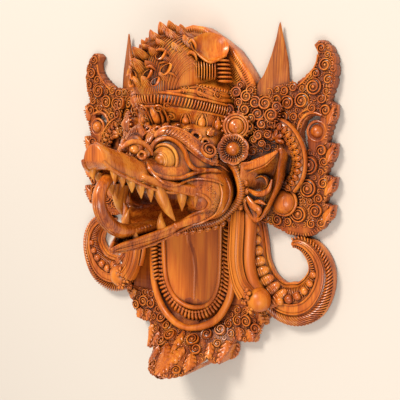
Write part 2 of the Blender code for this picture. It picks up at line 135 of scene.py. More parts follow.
# The hollow in the back
HOLLOW = [(40.3 * math.cos(a), 44 + 44.3 * math.sin(a)) for a in np.arange(48) * TURN / 48]

# Ornament in the leafwork: across, up, radius, hand and start of the curl
WING_CURLS = [
    (147, 139, 6, 1, 2.0), (136, 119, 8, -1, 0.5), (124, 106, 7.5, 1, 1.0), (149, 97, 5.5, -1, 3),
    (134, 45, 9.5, 1, 3.4), (146, 59, 5.5, -1, 2), (133, 22, 9.5, -1, 2.6), (149, 28, 5, 1, 2),
    (124, -3, 9, 1, 3.0), (142, 1, 7, -1, 2.0), (109, 104, 7, -1, 2.0), (97, 107, 6, 1, 4.0),
    (105, 91, 6.5, 1, 2.0), (91, 91, 7.5, -1, 1.0), (80, 100, 6.5, 1, 0.4), (68, 98, 7, -1, 2.6),
    (114, 80, 5, 1, 5.0), (80, 78, 6.5, 1, 4.0), (101, -11, 5.5, 1, 4.0), (86, -10, 5, -1, 4)]
BEARD_CURLS = [
    (39, -134, 7, 1, 2.0), (14, -146, 7.5, -1, 1.0), (22, -153, 6, 1, 4.0), (68, -120, 6.5, -1, 2.0),
    (58, -121, 5.5, 1, 3.0), (26, -140, 6, -1, 2.0), (79, -126, 5.5, 1, 1.0), (47, -126, 5, 1, 3),
    (62, -133, 4, 1, 1), (40, -147, 4.5, 1, 2)]

# Leaf tips of the crest: foot, tip and half width
CREST_TIPS = [
    ((0, 128, 92), (0, 143, 113), 6), ((0, 138, 88), (0, 153.5, 115), 6.5),
    ((0, 146, 80), (0, 157, 101), 6), ((0, 153, 68), (0, 170.5, 86.5), 7),
    ((0, 161, 58), (0, 181, 74), 7), ((0, 163, 44), (0, 184, 59.5), 7),
    ((3, 164, 34), (3, 182, 44), 6), ((9, 130, 88), (9, 141, 108), 5.5),
    ((9, 141, 82), (9, 154, 102), 5.5), ((10, 150, 74), (9, 163, 91), 5.5),
    ((12, 156, 60), (10, 174, 76), 6.5), ((12, 160, 46), (11, 178, 60), 6),
    ((18, 134, 78), (18, 147, 93), 5), ((20, 146, 68), (20, 160, 80), 5.5),
    ((24, 152, 54), (23, 168, 66), 5.5), ((5, 116, 92), (5, 127, 108), 5.5),
    ((17, 120, 84), (18, 131, 98), 5)]


class Carving:
    """Gathers closed forms, on the carver's grid, until they are made one mesh."""

    def __init__(self):
        self.corners = []
        self.faces = []
        self.count = 0

    def add(self, corners, faces):
        """Adds corners, and faces that number them from nought."""
        self.corners.append(np.asarray(corners, float))
        for block in faces:
            self.faces.extend((np.asarray(block) + self.count).tolist())
        self.count += len(corners)

    def grid(self):
        """All corners as one array."""
        return np.concatenate(self.corners)

    def join(self, other):
        """Adds all forms of another carving."""
        self.add(other.grid(), [[face] for face in other.faces])


def unit(vectors):
    """Scales vectors to length one."""
    return vectors / np.maximum(np.linalg.norm(vectors, axis=-1, keepdims=True), 1e-9)


GAZE = unit(np.array((0.12, -0.08, 0.99)))


def axes(normal, up=UP):
    """Gives the directions beside, above and out of a surface."""
    out = unit(np.asarray(normal, float))
    beside = np.cross(up, out)
    if np.linalg.norm(beside) < 1e-3:
        beside = np.cross((0, 0, 1), out)
    beside = unit(beside)
    return facing(beside, out)


def heading(path):
    """The direction of travel at each place of a path."""
    return unit(np.gradient(path, axis=0))


def facing(way, out):
    """Directions of a form that points along a way on a surface that faces out."""
    return np.array((way, np.cross(out, way), out))


def spoke(turn, angle):
    """A direction on a surface, at an angle from its first axis."""
    return turn[0] * math.cos(angle) + turn[1] * math.sin(angle)


def circle(place, turn, radius, angle):
    """Places round a centre at many angles; the radius may change with them."""
    return (place + np.outer(radius * np.cos(angle), turn[0])
            + np.outer(radius * np.sin(angle), turn[1]))


def behind(places):
    """For each place on the face, a point in the head that it is pressed towards."""
    return places * (0.2, 0.8, 1) + (0, 4, -18)


def ball_pattern(level):
    """Corners and faces of a round ball of radius one."""
    shape = bmesh.new()
    bmesh.ops.create_icosphere(shape, subdivisions=level, radius=1)
    corners = np.array([corner.co[:] for corner in shape.verts])
    faces = np.array([[corner.index for corner in face.verts] for face in shape.faces])
    shape.free()
    return corners, faces


BALLS = {level: ball_pattern(level) for level in (1, 2, 3, 4, 5)}


def oval(carving, place, radii, turn=np.eye(3), level=3):
    """An egg-shaped form; turn holds the directions of its three radii."""
    corners, faces = BALLS[level]
    carving.add(np.asarray(place) + (corners * radii) @ turn, [faces])


def ovals(carving, places, radii, turns, level=2):
    """Many small egg-shaped forms at once."""
    corners, faces = BALLS[level]
    shaped = np.einsum("mki,mij->mkj", np.broadcast_to(
        corners[None] * np.asarray(radii), (len(places), *corners.shape)), turns)
    base = (np.arange(len(places)) * len(corners))[:, None, None]
    carving.add((places[:, None] + shaped).reshape(-1, 3),
                [(faces[None] + base).reshape(-1, 3)])


def skin(carving, rings):
    """A loft over closed rings of equal count, closed at both ends."""
    rings = np.asarray(rings, float)
    rows, sides = rings.shape[:2]
    start = np.arange(rows - 1)[:, None] * sides
    here = np.arange(sides)
    there = (here + 1) % sides
    quads = np.stack((start + here, start + there, start + sides + there,
                      start + sides + here), -1).reshape(-1, 4)
    ends = [np.array([here[::-1]]), np.array([here + (rows - 1) * sides])]
    carving.add(rings.reshape(-1, 3), [quads] + ends)


def smooth_path(stations, steps):
    """A smooth curve through stations, which may carry widths after their place."""
    stations = np.asarray(stations, float)
    ends = np.vstack((stations[:1], stations, stations[-1:]))
    path = []
    for a, b, c, d in zip(ends, ends[1:], ends[2:], ends[3:]):
        for t in np.arange(steps) / steps:
            path.append(0.5 * (2 * b + (c - a) * t + (2 * a - 5 * b + 4 * c - d) * t * t
                               + (3 * b - a - 3 * c + d) * t ** 3))
    path.append(stations[-1])
    return np.array(path)


def even_path(path, pitch):
    """The same path with points an even distance apart."""
    path = np.asarray(path, float)
    steps = np.linalg.norm(np.diff(path[:, :3], axis=0), axis=1)
    along = np.concatenate(((0,), np.cumsum(steps)))
    count = max(2, int(round(along[-1] / pitch)) + 1)
    marks = np.linspace(0, along[-1], count)
    return np.stack([np.interp(marks, along, column) for column in path.T], -1)


def evened(values):
    """Takes the small shakes out of a row of places or directions."""
    values = np.array(values, float)
    for _ in range(4):
        values[1:-1] = (values[:-2] + 2 * values[1:-1] + values[2:]) / 4
    return values


def band(carving, path, wide, high, lift=OUT, sides=8):
    """A band swept along a path; lift is the direction that its height is measured in."""
    path = np.asarray(path, float)
    count = len(path)
    along = heading(path)
    beside = unit(np.cross(along, np.broadcast_to(lift, path.shape)))
    above = np.cross(beside, along)
    angle = np.arange(sides) * TURN / sides
    wide = np.broadcast_to(wide, count)[:, None, None]
    high = np.broadcast_to(high, count)[:, None, None]
    rings = (path[:, None] + beside[:, None] * np.cos(angle)[None, :, None] * wide
             + above[:, None] * np.sin(angle)[None, :, None] * high)
    skin(carving, rings)


def strap(carving, stations, lift, steps=6, sides=20):
    """A band through stations (across, up, out, half width, half height)."""
    path = smooth_path(stations, steps)
    band(carving, path[:, :3], path[:, 3], path[:, 4], lift, sides)


def ridged(carving, stations, lift, angles, girth, steps=6):
    """Thin ridges that run along the face of a strap and thin out with it."""
    path = smooth_path(stations, steps)
    places = path[:, :3]
    along = heading(places)
    beside = unit(np.cross(along, np.broadcast_to(lift, places.shape)))
    above = np.cross(beside, along)
    girth = girth * np.minimum(1, path[:, 3] / 3.2 + 0.08)
    for angle in np.radians(angles):
        line = (places + beside * path[:, 3:4] * math.cos(angle)
                + above * path[:, 4:5] * math.sin(angle))
        band(carving, line, girth, girth, lift, 6)


def spike(carving, base, tip, radius, bend=(0, 0, 0), sides=14):
    """A tooth or thorn from its base to its tip, thinning along a curve."""
    base, tip = np.asarray(base, float), np.asarray(tip, float)
    t = np.linspace(0, 1, 9)
    path = base + np.outer(t, tip - base) + np.outer(t * (1 - t) * 4, bend)
    girth = radius * (1 - t ** 1.6) + 0.12
    band(carving, path, girth, girth, UP_AND_OUT + (0.1, 0, 0), sides)


def dish(carving, rim, middle, out, steps):
    """A hollowed form inside a rim; steps are (share of the rim's reach, depth below it)."""
    rim, middle = np.asarray(rim, float), np.asarray(middle, float)
    skin(carving, [middle + (rim - middle) * share - np.asarray(out) * sink
                   for share, sink in steps])


def along_table(table, reach):
    """Reads a row of a table of sections at a reach between two of its rows."""
    table = np.asarray(table, float)
    return np.array([np.interp(reach, table[:, 0], column) for column in table.T])


def beard_rise(across, up):
    """Tells how far the beard curls out of the face at a place."""
    fall = np.clip((-127 - up) / 48, 0, 1)
    return 12 + 64 * fall ** 1.1 * np.exp(-(across / 48) ** 2)


def crown_place(angle, up, lift=0.0):
    """A place on the crown: angle runs from the right side, round the front, to the left."""
    row = np.array([along_table(CROWN, height) for height in np.atleast_1d(up)])
    wide, deep = row[:, 1] + lift, row[:, 2] + lift
    return np.stack((wide * np.cos(angle), row[:, 0], deep * np.sin(angle)), -1)


def crown_tilt(up, angle, share=1.0):
    """The crown's rows lean back: they fall away from the front to the sides."""
    return up + 19 * share * (np.sin(angle) - 0.883)


class Ground:
    """The surface that ornament is seated on."""

    def __init__(self, *carvings):
        corners = []
        faces = []
        for carving in carvings:
            faces += [[i + len(corners) for i in face] for face in carving.faces]
            corners += carving.grid().tolist()
        self.tree = BVHTree.FromPolygons(corners, faces)

    def seek(self, starts, aims):
        """Casts from each start along its aim; gives places and outward directions."""
        places = []
        outward = []
        for start, aim in zip(starts, aims):
            spot, normal, _, _ = self.tree.ray_cast(Vector(start), Vector(aim))
            if spot is None:
                spot, normal = Vector((start[0], start[1], 8.0)), -Vector(aim)
            if normal.dot(Vector(aim)) > 0:
                normal.negate()
            places.append(spot[:])
            outward.append(normal[:])
        return np.array(places), unit(np.array(outward))

    def drop(self, flat):
        """Lays places (across, up) on the surface, seen from the front."""
        flat = np.asarray(flat, float)
        starts = np.column_stack((flat[:, 0], flat[:, 1], np.full(len(flat), ABOVE_ALL)))
        return self.seek(starts, np.broadcast_to(-OUT, starts.shape))

    def press(self, places, centre):
        """Pushes places in towards a centre until they meet the surface."""
        places = np.asarray(places, float)
        aims = unit(np.asarray(centre, float) - places)
        return self.seek(places - aims * CLEAR_OF_FACE, aims)


def petals(carving, place, out, count, reach, radii, sink=0.0, start=0.0):
    """Small egg shapes set round a centre, each pointing away from it."""
    turn = axes(out)
    for k in range(count):
        way = spoke(turn, start + k * TURN / count)
        oval(carving, place + way * reach - out * sink, radii, facing(way, out), 2)


def row(carving, places, outward, radii, shift=0.0, lean=0.0, level=2):
    """Short ridges side by side, each lying across the line of places.

    radii are half the ridge's length, width and height; shift moves it across the line.
    """
    along = heading(places)
    across = unit(np.cross(outward, along))
    long = across * math.cos(lean) + along * math.sin(lean)
    turns = np.stack((long, np.cross(outward, long), outward), 1)
    ovals(carving, places + across * shift, radii, turns, level)


def cord(carving, places, outward, girth, proud=0.5, sides=6):
    """A thin raised line laid along a surface."""
    girth = np.asarray(girth, float)
    lift = (girth * proud)[:, None] if girth.ndim else girth * proud
    band(carving, places + outward * lift, girth, girth, outward, sides)


def trace(carving, ground, stations, girth, high=0.0, pitch=1.6, sides=8, proud=0.35):
    """A raised line that follows the face through stations and thins at both ends."""
    high = high or girth
    path = even_path(smooth_path(stations, 6), pitch)
    places, outward = ground.press(path, behind(path))
    places, outward = evened(places), unit(evened(outward))
    ends = np.minimum(1, 0.25 + np.minimum(np.arange(len(path)), np.arange(len(path))[::-1]) / 6)
    band(carving, places + outward * proud * high, girth * ends, high * ends, outward, sides)
    return places, outward


def laid(ground, flat, pitch):
    """An even row of places on the surface under a flat smooth line, with its directions."""
    path = even_path(smooth_path([(*spot[:2], 0) for spot in flat], 6), pitch)
    places, outward = ground.drop(path[:, :2])
    return evened(places), unit(evened(outward))


def volute(carving, place, outward, radius, hand=1, start=0.0, rise=0.42, line=0.95):
    """A curl of leaf with a trailing stem that winds in over a low mound to a round bud."""
    turn = axes(outward)
    dome = radius * rise * 0.62
    oval(carving, place, (radius * 0.94, radius * 0.94, dome), turn, 3 if radius > 4.4 else 2)
    turns = max(1.25, radius / 4.4)
    t = np.linspace(-0.22, 1, int(16 * turns) + 7)
    angle = start + hand * (t * turns - 0.12) * TURN
    reach = radius * (1.0 - 0.64 * t + 2.6 * np.minimum(t, 0) ** 2)
    height = dome * np.sqrt(np.clip(1 - (reach / radius / 1.03) ** 2, 0, 1))
    girth = min(line, radius * 0.17) * np.interp(t, (-0.22, 0.05, 0.3, 1), (0.15, 1, 1.25, 0.7))
    path = circle(place, turn, reach, angle) + np.outer(height + girth * 0.55, turn[2])
    band(carving, path, girth, girth * 1.5, turn[2], 6)
    oval(carving, place + turn[2] * dome, [radius * 0.26] * 3, turn, 2)
    if radius < 4.4:
        return
    for k in range(int(radius * 1.6)):
        way = spoke(turn, start - hand * (0.9 + k * 3.3 / (radius * 1.6)))
        oval(carving, place + way * radius * 1.16, (radius * 0.2 + 0.5, 0.6, 1.0),
             facing(way, turn[2]), 2)


def crescent(carving, place, out, size, angle, girth):
    """A small C of leaf that holds a bead."""
    turn = axes(out)
    arc = angle + np.linspace(-2.2, 2.2, 13)
    path = circle(place, turn, size * 0.78, arc) + out * size * 0.25
    swell = girth * (0.45 + 0.55 * np.sin(np.linspace(0.2, math.pi - 0.2, 13)))
    band(carving, path, swell, swell * 1.2, out, 6)
    oval(carving, place + out * size * 0.1, [size * 0.34] * 3, turn, 2)


def ring(carving, place, outward, radius, girth, sides=8, count=40):
    """A raised ring around a boss."""
    turn = axes(outward)
    angle = np.arange(count + 1) * TURN / count
    band(carving, circle(place, turn, radius, angle), girth, girth, turn[2], sides)


def flower(carving, place, out, size):
    """A small blossom of five petals."""
    petals(carving, place, out, 5, size * 0.55, (size * 0.5, size * 0.36, size * 0.34), start=0.3)
    oval(carving, place + out * size * 0.2, [size * 0.24] * 3, axes(out), 2)


def eyelet(carving, place, out, length, side=1):
    """A pointed loop of leaf, heavy above and open below."""
    turn = axes(out)
    lean = side * 0.75
    long = turn[1] * math.cos(lean) + turn[0] * math.sin(lean)
    wide = np.cross(out, long)
    angle = np.arange(25) * TURN / 24
    path = [place + long * length * math.cos(a) + wide * length * 0.52 * math.sin(a)
            * (1 - 0.35 * math.cos(a)) + out * 1.2 for a in angle]
    swell = 0.4 + 1.25 * np.maximum(0, -side * np.sin(angle - 0.4))
    band(carving, path, swell, swell * 2.2, out, 6)


def leaf(carving, base, tip, outward, wide, high, lobes=3, bow=0.25, cut=0.1):
    """A pointed leaf with a midrib, slanting veins and a toothed rim, lying on a surface."""
    base, tip = np.asarray(base, float), np.asarray(tip, float)
    outward = np.asarray(outward, float)
    t = np.linspace(0, 1, 25)
    arch = np.outer(np.sin(t * math.pi) * bow * wide, outward)
    path = base + np.outer(t, tip - base) + arch
    shape = wide * (np.sin(np.clip(t * 0.86 + 0.14, 0, 1) * math.pi) ** 0.75 + 0.03)
    shape = shape * (1 + cut * np.cos(t * lobes * TURN))
    band(carving, path, shape, high * (1 - 0.75 * t) + 0.15, outward, 12)
    rib = path + outward * (high * (1 - 0.6 * t) * 0.9)[:, None]
    band(carving, rib, 0.8 * (1 - t) + 0.15, 0.8 * (1 - t) + 0.15, outward, 6)
    if wide < 4:
        return
    run = unit(tip - base)
    side = np.cross(outward, run)
    for k in range(5, 20, 3):
        for hand in (-1, 1):
            way = unit(side * hand + run * 0.9)
            spot = (path[k] + way * shape[k] * 0.48
                    + outward * (high * (1 - 0.75 * t[k]) * 0.78 + 0.15))
            oval(carving, spot, (shape[k] * 0.46, 0.55, 0.7), facing(way, outward), 2)


def plate_leaf(carving, ground, stations, cuts=7, lift=2.6, deep=4.0):
    """A broad leaf laid on a surface: midrib, slanting cuts and a scalloped rim.

    stations are (across, up, half width) from its foot to its tip.
    """
    path = even_path(smooth_path([(x, y, 0, wide) for x, y, wide in stations], 8), 0.9)
    count = len(path)
    along = heading(path[:, :2])
    aside = np.column_stack((along[:, 1], -along[:, 0]))
    t = np.linspace(0, 1, count)[:, None]
    s = np.linspace(-1, 1, 19)[None]
    wave = (t * cuts - np.abs(s) * 0.75) % 1
    groove = np.exp(-(np.minimum(wave, 1 - wave) / 0.11) ** 2) * np.clip(np.abs(s) * 2.4 - 0.5, 0, 1)
    rim = 1 - (0.10 * np.exp(-(np.minimum(wave, 1 - wave) / 0.16) ** 2) if cuts else 0)
    flat = path[:, None, :2] + aside[:, None] * (s * rim * path[:, 3:4])[..., None]
    seats, outs = ground.drop(flat.reshape(-1, 2))
    height = lift * (1 - np.abs(s) ** 5) * (1 - 0.35 * t) + 0.9 * np.exp(-(s / 0.13) ** 2) * (1 - t)
    height = height - 1.5 * groove * bool(cuts) + 0.4
    shape = (count, 19, 3)
    outs = np.broadcast_to(unit(outs.mean(0)), seats.shape)
    top = (seats + outs * height.reshape(-1, 1)).reshape(shape)
    low = (seats - outs * deep).reshape(shape)
    skin(carving, [np.vstack((a, b[::-1])) for a, b in zip(top, low)])


def fretted(carving, outlines, low, high, edge):
    """A flat plate cut to an outline, with holes, and its edges eased."""
    curve = bpy.data.curves.new("outline", "CURVE")
    curve.dimensions = "2D"
    curve.fill_mode = "BOTH"
    curve.extrude = (high - low) / 2 - edge
    curve.bevel_depth = edge
    curve.offset = -edge
    curve.bevel_resolution = 2
    for outline in outlines:
        spline = curve.splines.new("POLY")
        spline.points.add(len(outline) - 1)
        spline.use_cyclic_u = True
        for corner, (across, up) in zip(spline.points, outline):
            corner.co = (across, up, 0, 1)
    plate = bpy.data.objects.new("outline", curve)
    bpy.context.scene.collection.objects.link(plate)
    bpy.context.view_layer.update()
    take_object(carving, plate, (0, 0, (low + high) / 2))


def take_object(carving, made, shift=(0, 0, 0)):
    """Moves a helper object's evaluated shape into a carving and removes it."""
    graph = bpy.context.evaluated_depsgraph_get()
    mesh = bpy.data.meshes.new_from_object(made.evaluated_get(graph))
    shape = bmesh.new()
    shape.from_mesh(mesh)
    bmesh.ops.remove_doubles(shape, verts=shape.verts[:], dist=0.001)
    corners = [np.add(corner.co, shift) for corner in shape.verts]
    faces = [[corner.index for corner in face.verts] for face in shape.faces]
    shape.free()
    carving.add(corners, [[face] for face in faces])
    bpy.data.objects.remove(made)
    bpy.data.meshes.remove(mesh)


def helper_object(carving, name):
    """Makes a plain object of a carving, still in parts."""
    mesh = bpy.data.meshes.new(name)
    mesh.from_pydata(carving.grid().tolist(), [], carving.faces)
    made = bpy.data.objects.new(name, mesh)
    bpy.context.scene.collection.objects.link(made)
    return made


def section_rings(table, sides=40):
    """Rings for a space given by reach, half width, top and bottom."""
    angle = np.arange(sides) * TURN / sides
    return [np.stack((wide * np.cos(angle),
                      (top + bottom) / 2 + (top - bottom) / 2 * np.sin(angle),
                      np.full(sides, reach)), -1) for reach, wide, top, bottom in table]


def cutter_of(rings):
    """Makes a tool shape from rings, to cut with."""
    carving = Carving()
    skin(carving, rings)
    return helper_object(carving, "cutter")


def fuse_forms(carving, grain, rounds, cutters):
    """Makes one skin of overlapping forms and cuts spaces out of it."""
    block = helper_object(carving, "block")
    remesh = block.modifiers.new("one skin", "REMESH")
    remesh.mode = "VOXEL"
    remesh.voxel_size = grain
    soften = block.modifiers.new("soften", "SMOOTH")
    soften.factor = 0.5
    soften.iterations = rounds
    for cutter in cutters:
        cut = block.modifiers.new("cut", "BOOLEAN")
        cut.operation = "DIFFERENCE"
        cut.solver = "EXACT"
        cut.object = cutter
    graph = bpy.context.evaluated_depsgraph_get()
    mesh = bpy.data.meshes.new_from_object(block.evaluated_get(graph))
    done = bpy.data.objects.new("fused", mesh)
    bpy.context.scene.collection.objects.link(done)
    for spent in [block] + cutters:
        bpy.data.objects.remove(spent)
    bpy.context.view_layer.update()
    return done


def nicked(outline, pitch, depth):
    """Cuts small scallops along an outline's longer runs."""
    edge = []
    for (x, y), (p, q) in zip(outline, outline[1:] + outline[:1]):
        length = math.hypot(p - x, q - y)
        count = int(length // pitch)
        edge.append((x, y))
        if x < 90 and y > 100 or count < 2 or length > 60:
            continue
        inward = ((q - y) / length, -(p - x) / length)
        for k in range(1, count * 4):
            t = k / (count * 4)
            dent = depth * (1 - abs(math.sin(t * count * math.pi)))
            edge.append((x + (p - x) * t + inward[0] * dent, y + (q - y) * t + inward[1] * dent))
    return edge


def inside_row(outline, pitch, inset):
    """Even places along an outline, moved in from it."""
    path = even_path(np.array(outline, float), pitch)
    along = heading(path)
    return path + np.column_stack((along[:, 1], -along[:, 0])) * inset


def whole_outline(outline):
    """Completes the outline of a right half with its left half."""
    return [(max(x, 0), y) for x, y in outline] + [(-x, y) for x, y in outline[-2:0:-1]]


def edge_reach(outline, middle, angle):
    """How far an outline lies from a middle point, in a direction."""
    aim = np.array((abs(math.cos(angle)), math.sin(angle)))
    reach = 0.0
    for (x, y), (p, q) in zip(outline, outline[1:]):
        run = np.array((p - x, q - y), float)
        start = np.array((x - middle[0], y - middle[1]), float)
        turned = aim[0] * run[1] - aim[1] * run[0]
        if abs(turned) < 1e-9:
            continue
        far = (start[0] * run[1] - start[1] * run[0]) / turned
        share = (start[0] * aim[1] - start[1] * aim[0]) / turned
        if 0 <= share <= 1 and far > reach:
            reach = far
    return reach


def free_places(outlines, taken, sizes, seed, margin=0.8, count=7000):
    """Finds free round places (across, up, radius) inside an outline, the largest first."""
    rng = np.random.default_rng(seed)
    a = np.concatenate([np.array(outline, float) for outline in outlines])
    b = np.concatenate([np.roll(np.array(outline, float), -1, 0) for outline in outlines])
    low, high = a.min(0), a.max(0)
    spots = low + rng.random((count, 2)) * (high - low)
    run = b - a
    share = np.clip(((spots[:, None] - a) * run).sum(2) / (run ** 2).sum(1), 0, 1)
    gap = np.linalg.norm(spots[:, None] - a - share[..., None] * run, axis=2).min(1)
    x, y = spots[:, :1], spots[:, 1:]
    rise = np.where(run[:, 1] == 0, 1, run[:, 1])
    crossed = ((a[:, 1] > y) != (b[:, 1] > y)) & (x < run[:, 0] * (y - a[:, 1]) / rise + a[:, 0])
    within = crossed.sum(1) % 2 == 1
    kept = np.array([spot[:3] for spot in taken], float).reshape(-1, 3)
    found = []
    for size in sizes:
        for spot in spots[within & (gap > size + margin)]:
            if (np.hypot(*(kept[:, :2] - spot).T) > kept[:, 2] + size).all():
                kept = np.vstack((kept, (*spot, size)))
                found.append((*spot, size))
    return found


def fill(carving, ground, places, seed):
    """Fills places with curls, crescents, leaf tips and beads by their size."""
    rng = random.Random(seed)
    seats, outward = ground.drop([place[:2] for place in places])
    for (_, _, size), seat, out in zip(places, seats, outward):
        turn = axes(out)
        angle = rng.random() * TURN
        if size >= 3:
            volute(carving, seat, out, size, rng.choice((-1, 1)), angle, 0.5, 0.85)
        elif size >= 2:
            crescent(carving, seat, out, size, angle, size * 0.3)
        elif size >= 1.3:
            oval(carving, seat, (size * 1.15, size * 0.62, size * 0.8),
                 facing(spoke(turn, angle), out), 2)
        else:
            oval(carving, seat, (size, size, size * 0.9), turn, 1)


def curl_all(carving, ground, curls, rise=0.42):
    """Carves listed curls on the surface below them."""
    seats, outward = ground.drop([curl[:2] for curl in curls])
    for (_, _, radius, hand, start), seat, out in zip(curls, seats, outward):
        volute(carving, seat, out, radius, hand, start, rise)


def carve_plates():
    """The fretted wings and throat plate, cut out around the comma eyes and the hollow."""
    plates = Carving()
    holes = [COMMA_HOLE, [(-x, y) for x, y in reversed(COMMA_HOLE)], HOLLOW]
    fretted(plates, [whole_outline(nicked(WING_EDGE, 4.5, 1.3))] + holes, 0, 11, 0.9)
    return plates


def carve_core():
    """The skull, cheeks and both halves of the beak, run into one another."""
    head = Carving()
    oval(head, (0, 45, 15), (64, 58, 80), level=5)
    for side in (-1, 1):
        oval(head, (side * 40, 17, 44), (25, 30, 36), level=4)
    head = fuse_forms(head, 1.4, 2, [cutter_of(section_rings(MOUTH))])
    block = Carving()
    take_object(block, head)
    oval(block, (0, 52, -20), (125, 92, 52), level=5)
    arch = np.linspace(0, math.pi, 29)
    rings = []
    for reach, wide, top, lip, palate in smooth_path(BEAK, 5):
        fill_in = np.interp(reach, (138, 158), (1, 0.1))
        over = [(wide * math.cos(a), lip + (top - lip) * math.sin(a) ** 0.9) for a in arch]
        under = [((wide - 5) * math.cos(a), lip + (palate - lip) * fill_in * math.sin(a))
                 for a in arch]
        rings.append([(x, y, reach) for x, y in over + under[::-1]])
    skin(block, rings)
    rings = []
    for reach, wide, rim, floor, keel in smooth_path(JAW, 5):
        inner = max(wide - 4.5, wide * 0.5)
        below = [(wide * math.cos(a), rim + (keel - rim) * math.sin(a) ** 0.8) for a in arch]
        above = [(inner * math.cos(a), rim + (floor - rim) * math.sin(a)) for a in arch]
        rings.append([(x, y, reach) for x, y in below + above[::-1]])
    skin(block, rings)
    for side in (-1, 1):
        strap(block, [(side * x, *rest) for x, *rest in LIP], np.array((side * 0.8, 0, 0.6)))
        strap(block, [(side * x, y - 2, z - 5, wide * 0.8, high) for x, y, z, wide, high in BROW],
              SLOPE * (side, 1, 1))
    hollow = [[(40 * share * math.cos(a), 44 + 44 * share * math.sin(a), 34 * rise)
               for a in np.arange(48) * TURN / 48]
              for share, rise in ((1, -0.2), (1, 0.2), (0.93, 0.6), (0.8, 0.85), (0.55, 1))]
    saw = [[(x, y, z) for x, y in ((-200, -200), (200, -200), (200, 200), (-200, 200))]
           for z in (-90, 0.3)]
    return fuse_forms(block, 1.5, 2, [cutter_of(saw), cutter_of(hollow)])


def carve_wing(ground):
    """Curls, rows of flutes and beads that cover a wing."""
    wing = Carving()
    curl_all(wing, ground, WING_CURLS)
    oval(wing, (140, 77, 8), (7, 7, 8), level=4)
    rim = [(145, 92), (136, 95), (126, 91), (120, 80), (120, 66), (125, 56), (130, 54)]
    cord(wing, *laid(ground, rim, 1.6), 1.5, sides=8)
    rim = [(151, 96), (138, 99), (124, 95), (116, 83), (116, 66), (120, 55)]
    cord(wing, *laid(ground, rim, 1.6), 1.0, sides=6)
    ring(wing, np.array((140, 77, 10)), OUT, 9.5, 1.6, count=28)
    places, outward = laid(ground, [(95, 84), (110, 83), (121, 72), (129, 52), (127, 33),
                                    (119, 19)], 2.4)
    row(wing, places, outward, (3.4, 0.8, 1.5), shift=-4, level=2)
    edge = [(x, y) for x, y in WING_EDGE if x > 100 and y < 125]
    edge = inside_row(edge, 3.0, 2.4)
    places, outward = ground.drop(edge)
    row(wing, places, outward, (2.3, 0.85, 1.4), level=2)
    horn = [(113, 119), (121, 124), (131, 134), (136, 143), (137, 150)]
    cord(wing, *laid(ground, [(x + 2.2, y - 1.2) for x, y in horn], 1.8), 1.1)
    horn = [(148, 160), (154, 152), (156, 138), (154, 122), (150, 108)]
    places, outward = laid(ground, horn, 2.6)
    row(wing, places, outward, (2.2, 0.8, 1.2), shift=-2.2, level=2)
    for x, y, p, q in ((151.5, 84, 159.4, 102), (151.5, 48, 160.4, 66), (151, 17, 161.4, 34),
                       (150, -10, 160.4, 7.2)):
        middle = ((x + p) / 2 - 0.6, (y + q) / 2 - 0.5)
        plate_leaf(wing, ground, [(x, y, 1.5), (*middle, 5.2), (p, q, 0.5)], 0, 1.8)
        for t in (0.15, 0.3, 0.45, 0.6, 0.75):
            oval(wing, (x + (p - x) * t + 3.2 - t, y + (q - y) * t - 1.5, 11.5), (1.3, 0.8, 1.4),
                 level=2)
    taken = [curl[:3] for curl in WING_CURLS] + [
        (140, 77, 16), (109, 8, 14), (66, 80, 9), (61, 60, 11), (96, 30, 20), (88, 10, 16),
        (80, -2, 12), (115, 62, 8), (122, 48, 8), (123, 30, 8), (104, 48, 11), (84, 45, 9),
        (106, 78, 6), (154, 101, 4), (154.5, 65, 4), (154, 33.5, 4), (153, 6.5, 4)]
    area = [(x, y) for x, y in WING_EDGE if x > 78 and y > -23]
    area = [(62, 70), (60, 110), (78, 117)] + area[1:] + [(78, -18)]
    places = free_places([area, COMMA_HOLE], taken, (4.6, 3.4, 2.6, 2.0, 1.4, 1.0), 5, 0.2)
    fill(wing, ground, places, 11)
    return wing


def carve_collar(ground):
    """The crescent collar behind the ear with its shell flutes, and the cabochon."""
    collar = Carving()
    path = smooth_path([(x, y, 13) for x, y in COLLAR], 8)
    band(collar, path, 6.5, 6.5, OUT, 20)
    along = heading(path)
    away = np.column_stack((-along[:, 1], along[:, 0], np.zeros(len(path))))
    band(collar, path + away * 5.6 + (0, 0, 3.2), 1.9, 3.2, OUT, 10)
    lobes = even_path(path, 6.6)
    run = heading(lobes)
    aside = np.column_stack((-run[:, 1], run[:, 0], np.zeros(len(lobes))))
    for spot, side, way in zip(lobes, aside, run):
        spin = np.array((side, way, OUT))
        oval(collar, spot - side * 0.6 + (0, 0, 5.6), (4.4, 3.0, 2.4), spin, 3)
        oval(collar, spot - side * 6.2 + (0, 0, 2.6), (3.6, 2.9, 2.4), spin, 3)
        for lift, size in ((0, 3.3), (-5.6, 2.8)):
            arc = np.linspace(-1.9, 1.9, 11)
            ring_path = (spot + side * lift - side * 0.8 + np.outer(np.cos(arc), side) * size
                         + np.outer(np.sin(arc), way) * size * 0.75
                         + (0, 0, 7.6 if lift == 0 else 4.6))
            band(collar, ring_path, 0.7, 1.3, OUT, 6)
    for angle in (-0.2, 0.55, 1.3, 2.05, 2.8):
        way = spoke((ACROSS, UP), angle)
        spin = facing(way, OUT)
        oval(collar, (99 + 6 * way[0], 68 + 6 * way[1], 19), (5.2, 2.6, 2.6), spin, 3)
        oval(collar, (99 + 6.5 * way[0], 68 + 6.5 * way[1], 21), (3.4, 0.6, 1.2), spin, 2)
    oval(collar, (109, 8, 15), (12.5, 12.5, 10), level=4)
    ring(collar, np.array((109, 8, 15.5)), OUT, 13.2, 1.7)
    around = np.array([(109 + 16.2 * math.cos(a), 8 + 16.2 * math.sin(a))
                       for a in np.radians(np.arange(-170, 92, 10))])
    places, outward = ground.drop(around)
    row(collar, places, outward, (2.6, 1.1, 1.8), level=2)
    return collar


